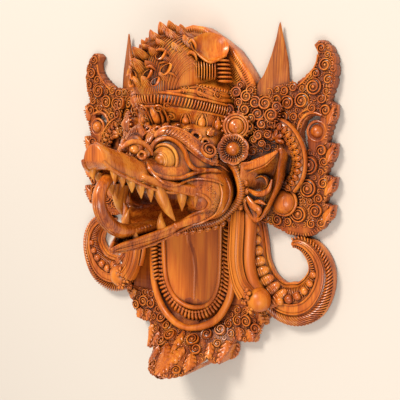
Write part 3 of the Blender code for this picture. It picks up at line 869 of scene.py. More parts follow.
def carve_flowers():
    """The cupped rosette and the round boss beside the brow."""
    flowers = Carving()
    out = unit(np.array((0.62, 0.0, 0.78)))
    turn = axes(out)
    middle = np.array((68, 59, 45))
    oval(flowers, middle - out * 11, (9, 9, 15), turn, 4)
    oval(flowers, middle - out * 6.5, (11, 11, 4), turn, 4)
    petals(flowers, middle, out, 24, 7.6, (2.2, 0.7, 0.9), 3.0)
    angle = np.arange(112) * TURN / 112
    reach = 14.2 + 1.5 * np.abs(np.cos(angle * 3.5 - 1.2)) ** 0.6
    edge = circle(middle, turn, reach, angle)
    dish(flowers, edge, middle, out, ((0.55, 14), (0.9, 4), (1, 0.5), (0.99, -0.6), (0.88, -0.8),
                                      (0.74, 0.6), (0.6, 3.4), (0.3, 4.6)))
    petals(flowers, middle, out, 28, 11.8, (2.9, 0.6, 0.9), -0.4)
    ring(flowers, middle - out * 2.0, out, 5.4, 0.9)
    oval(flowers, middle - out * 0.6, (3.8, 3.8, 3.8), turn, 3)
    middle = np.array((69, 81, 42))
    oval(flowers, middle - out * 8, (8, 8, 14), turn, 4)
    oval(flowers, middle, (7.6, 7.6, 5.0), turn, 4)
    ring(flowers, middle + out * 0.5, out, 8.8, 1.4)
    ring(flowers, middle - out * 0.5, out, 11.4, 1.5)
    for k in range(18):
        away = spoke(turn, k * TURN / 18)
        oval(flowers, middle + away * 13.4 - out * 2, (1.9, 1.5, 1.9), turn, 2)
    return flowers


def carve_temple(ground):
    """Curls and beads heaped over the roots of the fan and the blades and round the bosses."""
    heap = Carving()
    for spot, radius, hand, start in (
            ((91, 103, 24), 6.5, 1, 2.0), ((82, 93, 22), 7.0, -1, 1.0), ((97, 92, 22), 6.5, -1, 3),
            ((53, 97, 30), 5.5, 1, 0.5), ((59, 114, 25), 5.5, -1, 2.0), ((70, 110, 24), 6.0, 1, 2.0),
            ((79, 104, 23), 6.0, -1, 1.0), ((69, 97, 26), 6.0, 1, 3.0), ((66, 90, 30), 4.5, -1, 2.0),
            ((87, 83, 22), 5.5, 1, 1.0), ((76, 80, 28), 5.0, -1, 2.5), ((84, 72, 24), 4.8, 1, 2.0),
            ((93, 73, 22), 4.2, -1, 1.0), ((73, 116, 22), 4.4, 1, 2.0), ((101, 100, 20), 4.6, 1, 1),
            ((94, 83, 20), 4.0, -1, 2.0), ((80, 68, 26), 3.8, -1, 2.0), ((63, 104, 27), 4.2, -1, 2),
            ((88, 64, 24), 3.6, 1, 1.0), ((77, 89, 27), 4.0, 1, 0.5), ((62, 121, 23), 3.8, 1, 1.0)):
        seats, outs = ground.drop([spot[:2]])
        place = np.array((spot[0], spot[1], max(spot[2], seats[0][2])))
        out = unit(np.array((0.3, 0.1, 0.95)))
        oval(heap, place - out * radius * 0.75, (radius * 0.9, radius * 0.9, radius), axes(out), 2)
        volute(heap, place, out, radius, hand, start, 0.55)
    for k in range(80):
        angle = k * 2.39996
        reach = 2.6 * math.sqrt(k)
        across, up = 80 + reach * math.cos(angle), 90 + reach * math.sin(angle)
        seats, outs = ground.drop([(across, up)])
        lift = max(seats[0][2], 20.0) + 1.5
        oval(heap, (across, up, lift), (1.5, 1.5, 3.0), level=1)
    return heap


def carve_crown():
    """The crown's flared band with its flutes, petals, jewel and leafy brim."""
    crown = Carving()
    arc = np.radians(np.linspace(-12, 192, 121))
    skin(crown, [[(wide * math.cos(a), up, deep * math.sin(a)) for a in arc]
                 for up, wide, deep in smooth_path(CROWN, 4)])
    seat = Ground(crown)

    def around(up, first, last, pitch, share=1.0):
        """An even, leaning row of places on the crown."""
        angle = np.radians(np.linspace(first, last, 240))
        path = even_path(crown_place(angle, crown_tilt(up, angle, share), 4.0), pitch)
        return seat.press(path, path * (0.1, 1, 0.1))

    def at(angle, up, share=1.0):
        """One place on the crown and its outward direction."""
        turned = np.radians([angle])
        spot = crown_place(turned, crown_tilt(up, turned, share), 3.0)
        spots, outs = seat.press(spot, spot * (0.1, 1, 0.1))
        return spots[0], outs[0]

    places, outward = around(104.5, 12, 168, 3.3)
    row(crown, places, outward, (5.2, 1.15, 2.8), lean=0.12, level=3)
    for up, girth, share in ((110.8, 1.6, 1), (98, 1.4, 1), (74.5, 1.5, 0.2)):
        places, outward = around(up, 0, 180, 1.8, share)
        cord(crown, places, outward, girth)
    places, outward = around(77, 0, 180, 3.2, 0.2)
    row(crown, places, outward, (1.7, 1.2, 1.4), lean=0.5, level=2)
    for angle, size in ((64, 0.9), (50, 1.0), (36, 0.95), (22, 0.8), (8, 0.65), (116, 0.9),
                        (130, 1.0), (144, 0.95), (158, 0.8), (172, 0.65)):
        spot, out = at(angle, 86.5, 0.55)
        turn = axes(unit(out + (0, 0.12, 0)))
        oval(crown, spot - turn[1] * 1.5, (4.3 * size, 6.6 * size, 3.8), turn, 3)
        oval(crown, spot + turn[1] * 4.6 * size, (1.9 * size, 4.6 * size, 2.6), turn, 3)
        frame_path = [spot + turn[0] * 5.2 * size * math.sin(a) * (1 - 0.35 * math.cos(a))
                      + turn[1] * 10.4 * size * math.cos(a) for a in np.arange(29) * TURN / 28]
        band(crown, frame_path, 0.9, 2.0, out, 6)
        for hand in (-1, 1):
            oval(crown, spot + turn[0] * hand * 5.4 * size + turn[1] * 7 * size,
                 (1.3, 2.6, 1.8), turn, 2)
    for side in (-1, 1):
        for spot, radius, hand in (((9, 99), 5.0, 1), ((15, 91), 4.2, -1), ((10, 80), 3.8, -1),
                                   ((18, 101), 3.8, 1), ((15, 81), 3.2, 1)):
            seats, outs = seat.drop([(side * spot[0], spot[1])])
            volute(crown, seats[0], outs[0], radius, hand * side, 1.0, 0.7)
    strap(crown, [(0, 103, 87, 1, 2), (0, 96, 83, 4, 4), (0, 88, 77, 4.6, 5), (0, 80, 73, 3, 3.5),
                  (0, 73, 71, 0.8, 1)], UP_AND_OUT, 6, 16)
    jewel = [(1, 110, 92), (6, 101, 87), (7.4, 89, 78), (5, 78, 74), (0, 69, 73)]
    for side in (-1, 1):
        band(crown, smooth_path([(side * x, y, z) for x, y, z in jewel], 6), 1.3, 2.2,
             UP_AND_OUT, 8)
        band(crown, smooth_path([(side * (x * 1.5 + 1), y - 1, z - 2) for x, y, z in jewel], 6),
             1.0, 1.8, UP_AND_OUT, 8)
    for up, girth, wave, step in ((114, 1.7, 1.8, 6), (119.5, 1.1, 1.6, 5)):
        angle = np.radians(np.arange(4, 177, 3))
        lip = crown_place(angle, crown_tilt(up + wave * np.sin(angle * 180 / math.pi / step),
                                            angle, 0.8), 1.0)
        seats, outs = seat.press(lip, lip * (0.1, 1, 0.1))
        band(crown, seats, girth, girth * 1.3, UP_AND_OUT, 8)
    for angle, up, radius, hand in ((84, 115.5, 4.5, 1), (70, 117, 5.0, -1), (56, 117, 5.2, 1),
                                    (42, 117, 4.8, -1), (28, 117, 4.4, 1), (14, 116, 4.0, -1)):
        for side in (-1, 1):
            spot, out = at(90 - side * (90 - angle), up, 0.8)
            volute(crown, spot, out, radius, hand * side, angle, 0.25, 0.7)
    places, outward = around(122.5, 8, 172, 3.6, 0.7)
    row(crown, places, outward, (2.6, 1.3, 1.3), lean=0.5, level=2)
    return crown


def carve_crest_base():
    """The fan behind the crest, the crest's ball and its bosses."""
    crest = Carving()
    fretted(crest, [whole_outline(CREST_FAN)], 0, 20, 3)
    oval(crest, (0, 128, 40), (36, 46, 62), level=5)
    for side in (-1, 1):
        oval(crest, (side * 34, 155, 25), (10, 11, 9), level=4)
    return crest


def carve_crest(base):
    """The crest's combed mane, leaf tips, hollowed hoods, flutes and pointed loops."""
    crest = Carving()
    crest.join(base)
    seat = Ground(base)
    for across in np.arange(-30.4, 30.5, 1.9):
        angle = np.radians(np.arange(-22, 128, 4))
        sway = across * (0.93 + 0.2 * np.sin(angle * 1.5 + 0.1))
        share = np.sqrt(np.clip(1 - (sway / 36) ** 2, 0, 1))
        path = np.stack((sway, 128 + 46.6 * share * np.sin(angle),
                         40 + 62.6 * share * np.cos(angle)), -1)
        girth = 0.62 * np.minimum(1, 0.2 + np.arange(len(angle))[::-1] / 5)
        band(crest, path, girth, girth * 1.3, OUT, 5)
    for angle in np.radians(np.arange(8, 173, 2.0)):
        for first, last in ((0.60, 0.72), (0.75, 0.86), (0.90, 0.985)):
            path = []
            for share in np.linspace(first, last, 4):
                slant = angle + 0.3 * (share - first) * (1 if angle < math.pi / 2 else -1)
                slant += 0.017 if first == 0.75 else 0
                reach = edge_reach(CREST_FAN, (0, 108), slant)
                path.append((math.cos(slant) * reach * share,
                             108 + math.sin(slant) * reach * share,
                             20.2 - 30 * max(0, share - 0.93)))
            band(crest, path, np.array((0.25, 0.8, 0.8, 0.25)), 1.0, OUT, 5)
    for foot, tip, wide in CREST_TIPS:
        for side in (-1, 1) if tip[0] else (1,):
            a, b = np.array(foot) * (side, 1, 1), np.array(tip) * (side, 1, 1)
            path = [(*(a + (b - a) * t), wide * w, wide * 0.75 * w)
                    for t, w in ((-0.1, 0.9), (0.3, 1), (0.65, 0.74), (0.88, 0.36), (1, 0.05))]
            lift = unit(np.array((side * 0.5, -0.3, 0.9)))
            strap(crest, path, lift, 4, 14)
            ridged(crest, path, lift, (20, 46, 70, 92, 115, 140, 165), 0.6, 3)
    for side in (-1, 1):
        flip = np.array((side, 1, 1))
        out = unit(np.array((side * 0.62, 0.35, 0.72)))
        rim = smooth_path([(31, 166, 59), (28, 159, 61), (29, 154, 58), (34, 149, 55),
                           (41, 142.5, 48), (45, 144, 43), (50, 150, 32), (50, 160, 27),
                           (45, 169, 31), (36, 172, 44), (31, 166, 59)], 5)[:-1] * flip
        dish(crest, rim, np.array((38, 157, 42)) * flip, out,
             ((0.5, 16), (0.95, 9), (1.03, 2), (1.0, 0), (0.93, 0.4), (0.84, 2.2), (0.6, 4.4),
              (0.3, 4.2), (0.1, 3.8)))
        lid = [(27.5, 162, 60), (28.5, 155, 58.5), (33.5, 149, 55.5), (41, 142.5, 48.5),
               (45.5, 144.5, 42), (50, 150, 32)]
        band(crest, smooth_path(np.array(lid) * flip, 6), 1.3, 1.6, out, 8)
        for k in range(9):
            spot = np.array((30 + 1.6 * k, 134 + 0.2 * k, 60 - 2.3 * k)) * flip
            oval(crest, spot, (1.1, 10, 4.2), axes(unit(np.array((side * 0.72, 0.1, 0.68)))), 3)
        for k in range(6):
            spot = np.array((46.5 + 0.5 * k, 145 - 4.0 * k, 34 - 0.6 * k)) * flip
            oval(crest, spot, (8.5, 1.7, 4.4), axes(unit(np.array((side * 0.85, 0, 0.5)))), 3)
        for lid, girth in (([(27, 160, 64), (29, 163, 61), (31, 159, 58), (31, 154, 57)], 1.7),
                           ([(26, 146, 68), (29, 151, 64), (32, 149, 60), (33, 143, 58)], 1.9),
                           ([(28, 137, 67), (30, 141, 63), (32, 139, 60), (33, 134, 58)], 1.6),
                           ([(27, 128, 68), (30, 132, 64), (33, 130, 60)], 1.4),
                           ([(13, 151, 97), (16, 152, 92), (19, 148, 85), (20, 142, 82)], 1.6),
                           ([(17, 139, 96), (19, 140, 90), (23, 136, 83), (25, 131, 80)], 1.5),
                           ([(9, 135, 106), (12, 136, 103), (15, 132, 99)], 1.5),
                           ([(20, 130, 93), (24, 130, 87), (27, 126, 82)], 1.3)):
            path = smooth_path(np.array(lid) * flip, 6)
            thin = np.sin(np.linspace(0.35, math.pi - 0.2, len(path)))
            band(crest, path, girth * thin, girth * 1.5 * thin, out, 8)
        for place, length in (((15, 147, 93), 6), ((20, 134, 92), 6.5), ((8, 130, 106), 5.5),
                              ((14, 123, 102), 5)):
            spot, outs = seat.press([np.array(place) * flip], [(0, 118, 20)])
            eyelet(crest, spot[0] + outs[0], outs[0], length, side)
    return crest


def carve_face_lines(ground):
    """Folds that run from the nostril round the eye, the lips and the cheek."""
    lines = Carving()
    for stations, girth, high in (
            ([(18, 47, 117), (22, 40, 118), (26, 34, 114), (32, 31, 104), (37, 31, 91),
              (41, 34, 81), (47, 37, 71), (54, 38, 62), (60, 36, 52)], 2.3, 3.2),
            ([(15, 53, 112), (8, 59, 98), (10, 66, 91), (20, 69, 86), (30, 65, 83), (36, 56, 80),
              (39, 46, 79), (45, 39, 73), (53, 40, 63)], 2.5, 3.8),
            ([(20, 43, 118), (25, 32, 112), (31, 25.5, 101), (37.5, 26, 90), (42, 29.5, 81),
              (51, 30, 72), (59, 28, 62), (63, 24, 54)], 1.3, 1.9),
            ([(62, 28, 60), (64, 19, 58), (63, 8, 58), (58, -4, 59), (48, -11, 69),
              (38, -18, 82), (30, -24, 92), (20, -31, 106), (9, -37, 124)], 1.1, 1.6),
            ([(65, 31, 50), (67, 20, 46), (65, 6, 47), (59, -6, 52)], 0.9, 1.2),
            ([(52, 45, 63), (60, 43, 52), (66, 36, 42)], 1.2, 1.6),
            ([(1, 66, 100), (4, 72, 90), (4, 78, 84)], 1.6, 2.2)):
        trace(lines, ground, stations, girth, high)
    rim = [(wide - 0.4, lip + 0.6, reach) for reach, wide, _, lip, _ in BEAK[:2:-1]]
    rim += [(49, 16.5, 79), (54, 14, 73), (57, 8, 69), (52, 1, 68), (43, -3.5, 73)]
    rim += [(wide - 0.8, edge - 0.6, reach) for reach, wide, edge, _, _ in JAW[3:]]
    band(lines, smooth_path(rim, 6), 1.9, 2.3, SLOPE, 8)
    for angle in (0.42, 0.85):
        groove = [(wide * math.cos(angle), edge + (keel - edge) * math.sin(angle) ** 0.8, reach)
                  for reach, wide, edge, _, keel in smooth_path(JAW[3:], 5)]
        band(lines, groove, 1.0, 1.3, SLOPE, 6)
    strap(lines, BROW, SLOPE, 8, 20)
    ridged(lines, BROW, SLOPE, (20, 160), 1.1, 8)
    path = even_path(smooth_path(BROW[1:5], 8), 3.1)
    run = heading(path[:, :3])
    over = unit(np.cross(np.cross(run, SLOPE), run))
    over *= np.sign(over[:, 2:])
    side = unit(np.cross(over, run))
    way = unit(side + run * 0.55)
    ovals(lines, path[:, :3] + over * 4.4, (4.2, 0.75, 0.9),
          np.stack((way, np.cross(over, way), over), 1), 2)
    seats, outs = ground.press([(52, 56, 66)], [SKULL + (0, 0, 10)])
    volute(lines, seats[0] + outs[0] * 2, outs[0], 8, 1, 2.2, 0.5, 1.5)
    for spot, radius in (((41, 71, 70), 4.6), ((48, 65, 64), 3.6), ((5, 77, 86), 3.4)):
        seats, outs = ground.press([spot], [SKULL])
        ring(lines, seats[0] + outs[0] * 2.2, outs[0], radius, 1.7, count=24)
        ring(lines, seats[0] + outs[0] * 0.8, outs[0], radius * 1.05, 1.9, count=24)
    oval(lines, (6.5, 58.5, 121), (4.6, 4.6, 4.6), level=4)
    strap(lines, [(0, 59, 130, 1, 1.2), (1.5, 63, 127, 2.2, 2.4), (6, 66, 121, 2.6, 2.6),
                  (11, 64, 112, 2.6, 2.6), (14, 58, 106, 2.2, 2.2), (15, 53, 104, 1, 1)],
          UP_AND_OUT, 6, 14)
    ring(lines, (12.5, 53.5, 117), unit(np.array((0.7, 0.35, 0.65))), 3.5, 1.5, count=24)
    for base, tip, wide in (((30, 79, 78), (38, 84, 76), 4), ((20, 80, 82), (26, 87, 82), 4),
                            ((52, 76, 60), (56, 84, 56), 4), ((0, 66, 98), (0, 84, 84), 4.5),
                            ((10, 80, 84), (13, 88, 82), 3.5)):
        seats, outs = ground.press([base, tip], [SKULL])
        leaf(lines, seats[0], seats[1] + outs[1] * 2, unit(outs[0]), wide, 3.0)
    wander = random.Random(7)
    cheek = even_path(smooth_path([(52, 25, 74), (59, 19, 65), (61, 10, 63), (58, 1, 62),
                                   (49, -7, 69)], 8), 0.45)
    spots = np.array([spot + [wander.uniform(-3.6, 3.6) for _ in range(3)] for spot in cheek])
    seats, outs = ground.press(spots, behind(spots))
    for seat, out in zip(seats, outs):
        oval(lines, seat, (0.75, 0.75, 0.8), axes(out), 1)
    return lines


def carve_eyes():
    """The bulging eyeballs with a raised iris inside a ring."""
    eyes = Carving()
    turn = axes(GAZE)
    oval(eyes, EYE, (12.6, 12.6, 12.3), turn, 5)
    oval(eyes, EYE + GAZE * 10.8, (5.2, 5.2, 3.2), turn, 4)
    for radius, depth, girth in ((7.4, 9.9, 1.0), (10.6, 6.6, 0.35), (13.8, 1.2, 1.9),
                                 (18, -6.5, 1.8)):
        ring(eyes, EYE + GAZE * depth, GAZE, radius, girth, count=48)
    return eyes


def carve_teeth():
    """Pointed teeth, fangs and lower teeth."""
    teeth = Carving()
    for reach, length, radius, lean in TEETH:
        _, wide, _, lip, _ = along_table(BEAK, reach)
        spike(teeth, (wide - 4, lip + 3, reach), (wide - 4.5, lip - length, reach - lean),
              radius * 1.1, (0.8, 0, 0.6))
    for reach, length, radius in ((121, 11, 3.2), (98, 15, 5)):
        _, wide, rim, _, _ = along_table(JAW, reach)
        spike(teeth, (wide - 5, rim - 3, reach), (wide - 8, rim + length, reach - 2), radius,
              (0, 0, 1.5))
    path = smooth_path(FANG, 8)
    band(teeth, path[:, :3], path[:, 3], path[:, 3], (1, 0, 0.3), 20)
    spike(teeth, (47, 16, 77), (45, 3, 76), 3.4)
    return teeth


def carve_tongue():
    """The tongue that curls out over the lower beak and up to its tip."""
    tongue = Carving()
    strap(tongue, TONGUE, ACROSS, 10, 28)
    for side in (-1, 1):
        for k in range(9):
            oval(tongue, (side * (8.8 - 0.25 * k), -15.5 - 0.3 * k, 98 + 4.4 * k), (2.3, 2.2, 2.3),
                 level=3)
    ridged(tongue, TONGUE[:7], ACROSS, (160, 180, 200), 0.55, 8)
    return tongue


def carve_ears():
    """The pointed ears, their sharp upper lid, deep hollow and the folds below it."""
    ears = Carving()
    rim = smooth_path(EAR_RIM + EAR_RIM[:1], 6)[:-1]
    dish(ears, rim, EAR_MIDDLE, OUT, ((0.75, 30), (0.96, 8), (1, 4), (1.0, 1), (0.95, 0),
                                      (0.88, 0.6), (0.78, 3.5), (0.6, 8), (0.4, 12), (0.2, 13)))
    for stations, wide, high, sides in (
            ([(77, 41, 40), (87, 44, 39.5), (100, 49, 39.5), (115, 58.5, 41.5)], 4.6, 2.6, 12),
            ([(82, 36, 40), (90, 39.5, 40), (101, 44, 40), (113, 54, 42)], 1.0, 1.6, 8),
            ([(84, 30, 28), (91, 33, 28), (97, 31, 29), (99, 25, 29), (95, 21, 30)], 1.8, 3.6, 10),
            ([(80, 19, 33), (88, 16, 34), (96, 16.5, 35), (103, 21, 35), (107, 31, 37)], 3.0, 3.4,
             10),
            ([(78, 12, 33), (84, 5, 33), (90, 0, 31), (88, -7, 29)], 4.2, 3.2, 10),
            ([(88, 8, 35), (94, 8.5, 35.5), (99, 6, 34)], 2.4, 2.2, 10),
            ([(75, 8, 33), (77, 0, 31), (82, -8, 29)], 1.8, 2.6, 8)):
        ends = np.interp(np.linspace(0, 1, len(stations)), (0, 0.3, 0.7, 1), (0.5, 1, 1, 0.25))
        strap(ears, [(*station, wide * t, high * t) for station, t in zip(stations, ends)], OUT,
              6, sides)
    return ears


def carve_blades():
    """The plain upright blades beside the crest, thinned towards their points."""
    blades = Carving()
    edge = smooth_path(HORN_EDGE, 5)
    heart = np.array((16, 125))
    rings = []
    for lift, share in ((-3.4, 0.92), (-2.3, 1), (2.3, 1), (3.4, 0.92)):
        outline = heart + (edge - heart) * share
        thin = np.interp(outline[:, 1], (130, 183), (1, 0.25)) * lift
        rings.append([(HORN_ROOT[0] + s * HORN_RUN[0] - deep * HORN_RUN[1], up,
                       HORN_ROOT[1] + s * HORN_RUN[1] + deep * HORN_RUN[0])
                      for (s, up), deep in zip(outline, thin)])
    skin(blades, rings)
    return blades


def carve_cheek_ring():
    """The scalloped rope around each cheek."""
    rope = Carving()
    path = smooth_path(CHEEK_RING, 10)
    band(rope, path[:, :3], path[:, 3] * 0.9, path[:, 3] * 0.9, OUT, 14)
    places = even_path(path, 2.5)
    girth = places[:, 3:4]
    places = places[:, :3]
    along = heading(places)
    away = unit((places - CHEEK) * (1, 1, 0))
    away = unit(away - along * (away * along).sum(1, keepdims=True))
    outward = unit(np.cross(along, away))
    outward *= np.sign(outward[:, 2:])
    tilt = unit(away * 0.8 + outward * 0.6)
    turns = np.stack((np.cross(tilt, along), along, tilt), 1)
    ovals(rope, places + tilt * girth * 0.62, (4.3, 0.85, 2.4), turns, 2)
    lumps = even_path(path[:, :3], 8.0)
    run = heading(lumps)
    side = unit((lumps - CHEEK) * (1, 1, 0))
    side = unit(side - run * (side * run).sum(1, keepdims=True))
    lift = unit(np.cross(run, side))
    ovals(rope, lumps + side * 4.8 - (0, 0, 2), (4.3, 3.4, 3.4), np.stack((run, side, lift), 1), 3)
    ovals(rope, lumps + side * 7.0 - (0, 0, 0.5), (2.6, 1.6, 2.4), np.stack((run, side, lift), 1),
          2)
    return rope


def carve_throat():
    """The hollowed throat with its crease, its fluted border and the side stems."""
    throat = Carving()
    slab_rows = []
    for up in np.linspace(6, -136, 44):
        half = np.interp(-up, (0, 55, 88, 109, 116, 137), (40, 39, 36, 26, 16, 8))
        crease = np.interp(-up, (20, 45, 60, 75, 100, 116), (-9, -7, 0, 2.5, 2, 2))
        across = np.linspace(-1, 1, 85) * half
        rise = 11.0 + 5.5 * (np.abs(across) / half) ** 2.2
        depth = np.interp(-up, (20, 40, 105, 116), (0, 1.5, 1.2, 0))
        rise -= depth * np.exp(-((across - crease) / 1.2) ** 2)
        rise += depth * 0.8 * np.exp(-((across - crease + 2.8) / 2.0) ** 2)
        top = np.column_stack((across, np.full(85, up), rise))
        slab_rows.append(np.vstack((top, top[::-1] * (1, 1, 0) + (0, 0, 6))))
    skin(throat, slab_rows)
    for rim, girth in ((INNER_RIM, 2.6), (OUTER_RIM, 4.0)):
        both = rim + [(-x, y, z) for x, y, z in rim[-2::-1]]
        band(throat, smooth_path(both, 8), girth, girth, OUT, 12)
    line = [(45, -24), (45, -55), (42, -92), (26, -116), (0, -125.5)]
    line += [(-x, y) for x, y in line[-2::-1]]
    path = even_path(smooth_path([(x, y, 0) for x, y in line], 8), 4.7)
    places = path + (0, 0, 15.2)
    outward = np.broadcast_to(OUT, places.shape)
    row(throat, places, outward, (4.6, 1.95, 3.0), level=3)
    row(throat, places, outward, (2.2, 2.4, 2.8), shift=-4.4, level=2)
    band(throat, path + (0, 0, 9.3), 6.5, 6, OUT, 8)
    for side in (-1, 1):
        flip = np.array((side, 1, 1))
        stem = [(side * x, *rest) for x, *rest in STEM]
        strap(throat, stem, UP * 0.2 + OUT, 8, 24)
        ridged(throat, stem, UP * 0.2 + OUT, (20, 48, 76, 104, 132, 160), 1.15)
        flank = [(side * (x + 9.5), y + 2, z - 7, 7.5, 8) for x, y, z, _, _ in STEM]
        strap(throat, flank, UP * 0.2 + OUT, 8, 20)
        edge = [(side * (x - 9.5), y, z - 2) for x, y, z, _, _ in STEM[:-1]]
        band(throat, smooth_path(edge, 8), 1.9, 3.4, OUT, 8)
        ribs = even_path(smooth_path([(47, -26, 19), (48, -50, 20), (48, -70, 19),
                                      (46, -90, 17)], 6), 4.4) * flip
        row(throat, ribs, np.broadcast_to(OUT, ribs.shape), (5.0, 1.8, 4.2),
            lean=0.35 * side, level=3)
        ball = np.array((90, -91, 27)) * flip
        oval(throat, ball, (12.5, 12.5, 12.5), level=4)
        for place, size in (((82, -84, 38), 6.2), ((77, -92, 34), 5.4), ((84, -100, 35), 5.2),
                            ((74, -83, 33), 4.4), ((78, -101, 28), 4.2)):
            flower(throat, np.array(place) * flip, unit(np.array((-0.35 * side, 0.1, 0.9))), size)
    return throat


def carve_scrolls():
    """The scrolls that hang from the wings, with their ribbed band, beads and fluted rim."""
    scrolls = Carving()
    path = smooth_path([(x, y, 4, wide, 13) for x, y, wide in SCROLL], 8)
    band(scrolls, path[:, :3], path[:, 3], path[:, 4], OUT, 28)
    seat = Ground(scrolls)
    flow = smooth_path(SCROLL, 10)
    centre, wide = flow[:, :2], flow[:, 2]
    along = heading(centre)
    aside = np.column_stack((-along[:, 1], along[:, 0]))

    def lane(share, pitch, first=0.0, last=1.0):
        """Places on the scroll that run with it at a share of its half width."""
        line = np.column_stack((centre + aside * (wide * share)[:, None], wide))
        line = even_path(line[int(first * len(line)):int(last * len(line))], pitch)
        spots, outs = seat.drop(line[:, :2])
        spots, outs = evened(spots), unit(evened(outs))
        run = heading(spots)
        return spots, outs, line[:, 2], run, unit(np.cross(outs, run))

    for spot, out, size, _, way in zip(*lane(0.16, 11.5, 0.02, 0.36)):
        half = size * 0.74
        oval(scrolls, spot, (half * 0.95, 6.2, 4.4), facing(way, out), 4)
        for k in range(-3, 4):
            oval(scrolls, spot + way * k * half * 0.25 + out * (4.1 - 0.28 * k * k),
                 (half * 0.09, 4.7 - 0.2 * abs(k), 1.5), facing(way, out), 2)
    for spot, out, size, _, way in zip(*lane(0.48, 2.3, 0.34, 0.99)):
        oval(scrolls, spot - out * 0.2, (size * 0.3444, 1.0, 2.2), facing(way, out), 2)
    for share, girth, first, last in ((0.04, 1.2, 0.34, 0.97), (0.92, 1.3, 0.02, 0.98),
                                      (-0.38, 1.0, 0.34, 0.97), (-0.5, 1.4, 0.02, 0.36)):
        cord(scrolls, *lane(share, 1.8, first, last)[:2], girth)
    for spot, out, size, run, way in zip(*lane(-0.73, 3.3, 0.3, 0.98)):
        oval(scrolls, spot, (size * 0.4, 1.35, 3.6), facing(unit(way - run * 0.85), out), 2)
    beads = even_path(smooth_path([(109, -91, 0), (122, -87, 0), (132.5, -80, 0), (140, -71, 0),
                                   (144.5, -60, 0)], 6), 10.2)
    seats, outs = seat.drop(beads[:, :2])
    for place, out, size in zip(seats, outs, (4.9, 4.7, 4.5, 4.2, 3.8, 3.4)):
        oval(scrolls, place + out * 1.4, [size] * 3, level=3)
    return scrolls


def carve_beard():
    """The leafy beard, curling out of the face to its tip."""
    beard = Carving()
    rings = []
    for across in np.arange(-93, 93.1, 1.0):
        edge = np.interp(abs(across), *np.array(BEARD_EDGE).T)
        edge -= 0.9 * abs(math.sin(across * math.pi / 5.0))
        share = np.linspace(0, 1, 26)
        front = edge + (-104 - edge) * (1 - share)
        top = beard_rise(across, front)
        ease = 3.0 * (1 - np.minimum(1, share * 12)) ** 2
        ring_top = np.column_stack((np.full(26, across), front, top - ease))
        ring_low = np.column_stack((np.full(26, across), front, top - 13 + 6 * share))
        rings.append(np.vstack((ring_top, ring_low[::-1])))
    skin(beard, rings)
    return beard


def carve_beard_leaves(ground):
    """Curls, broad cut leaves and beads on the beard."""
    leaves = Carving()
    curl_all(leaves, ground, BEARD_CURLS, 0.6)
    taken = [curl[:3] for curl in BEARD_CURLS]
    for stations, cuts in (
            ([(50, -143, 3), (50, -151, 7.5), (48.5, -160, 6), (46.5, -167, 1)], 5),
            ([(70, -129, 3), (73, -134, 6), (76, -139, 4), (77.5, -142, 0.8)], 4),
            ([(33, -147, 2.5), (35, -153, 4.5), (36, -160, 3), (35.5, -163, 0.8)], 4),
            ([(12, -154, 3), (6, -161, 8), (0, -169, 8), (-2, -176, 3)], 7),
            ([(20, -157, 3), (23, -164, 5.5), (25, -170, 4), (25, -174, 1)], 5),
            ([(58, -129, 3), (60, -134, 4.5), (61, -139, 3.5), (61.5, -143, 0.8)], 4),
            ([(80, -108, 3), (84, -114, 5), (88, -119, 3), (90, -121, 0.8)], 4),
            ([(0, -141, 2), (0, -148, 5), (0, -155, 3.4), (0, -159, 0.6)], 4)):
        plate_leaf(leaves, ground, stations, cuts)
        for x, y, wide in smooth_path(stations, 3):
            taken.append((x, y, wide * 0.85))
    trim = inside_row(BEARD_EDGE, 3.2, -2.2)
    seats, outs = ground.drop(trim)
    row(leaves, seats, outs, (2.2, 0.9, 1.6), level=2)
    area = BEARD_EDGE + [(92, -104), (84, -104), (54, -106), (36, -128), (-4, -139), (-4, -174)]
    places = free_places([area], taken, (5.2, 4.2, 3.2, 2.4, 1.7, 1.2), 9, -0.2)
    fill(leaves, ground, places, 4)
    return leaves


def linear(code):
    """Turns an sRGB hex colour into linear light."""
    parts = [int(code[i:i + 2], 16) / 255 for i in (1, 3, 5)]
    return [c / 12.92 if c <= 0.04045 else ((c + 0.055) / 1.055) ** 2.4 for c in parts] + [1]


def add(tree, kind, inputs=None, **settings):
    """Adds a shader node; inputs are values or sockets to take from."""
    node = tree.nodes.new("ShaderNode" + kind)
    for name, value in settings.items():
        setattr(node, name, value)
    for name, value in (inputs or {}).items():
        if isinstance(value, bpy.types.NodeSocket):
            tree.links.new(value, node.inputs[name])
        else:
            node.inputs[name].default_value = value
    return node


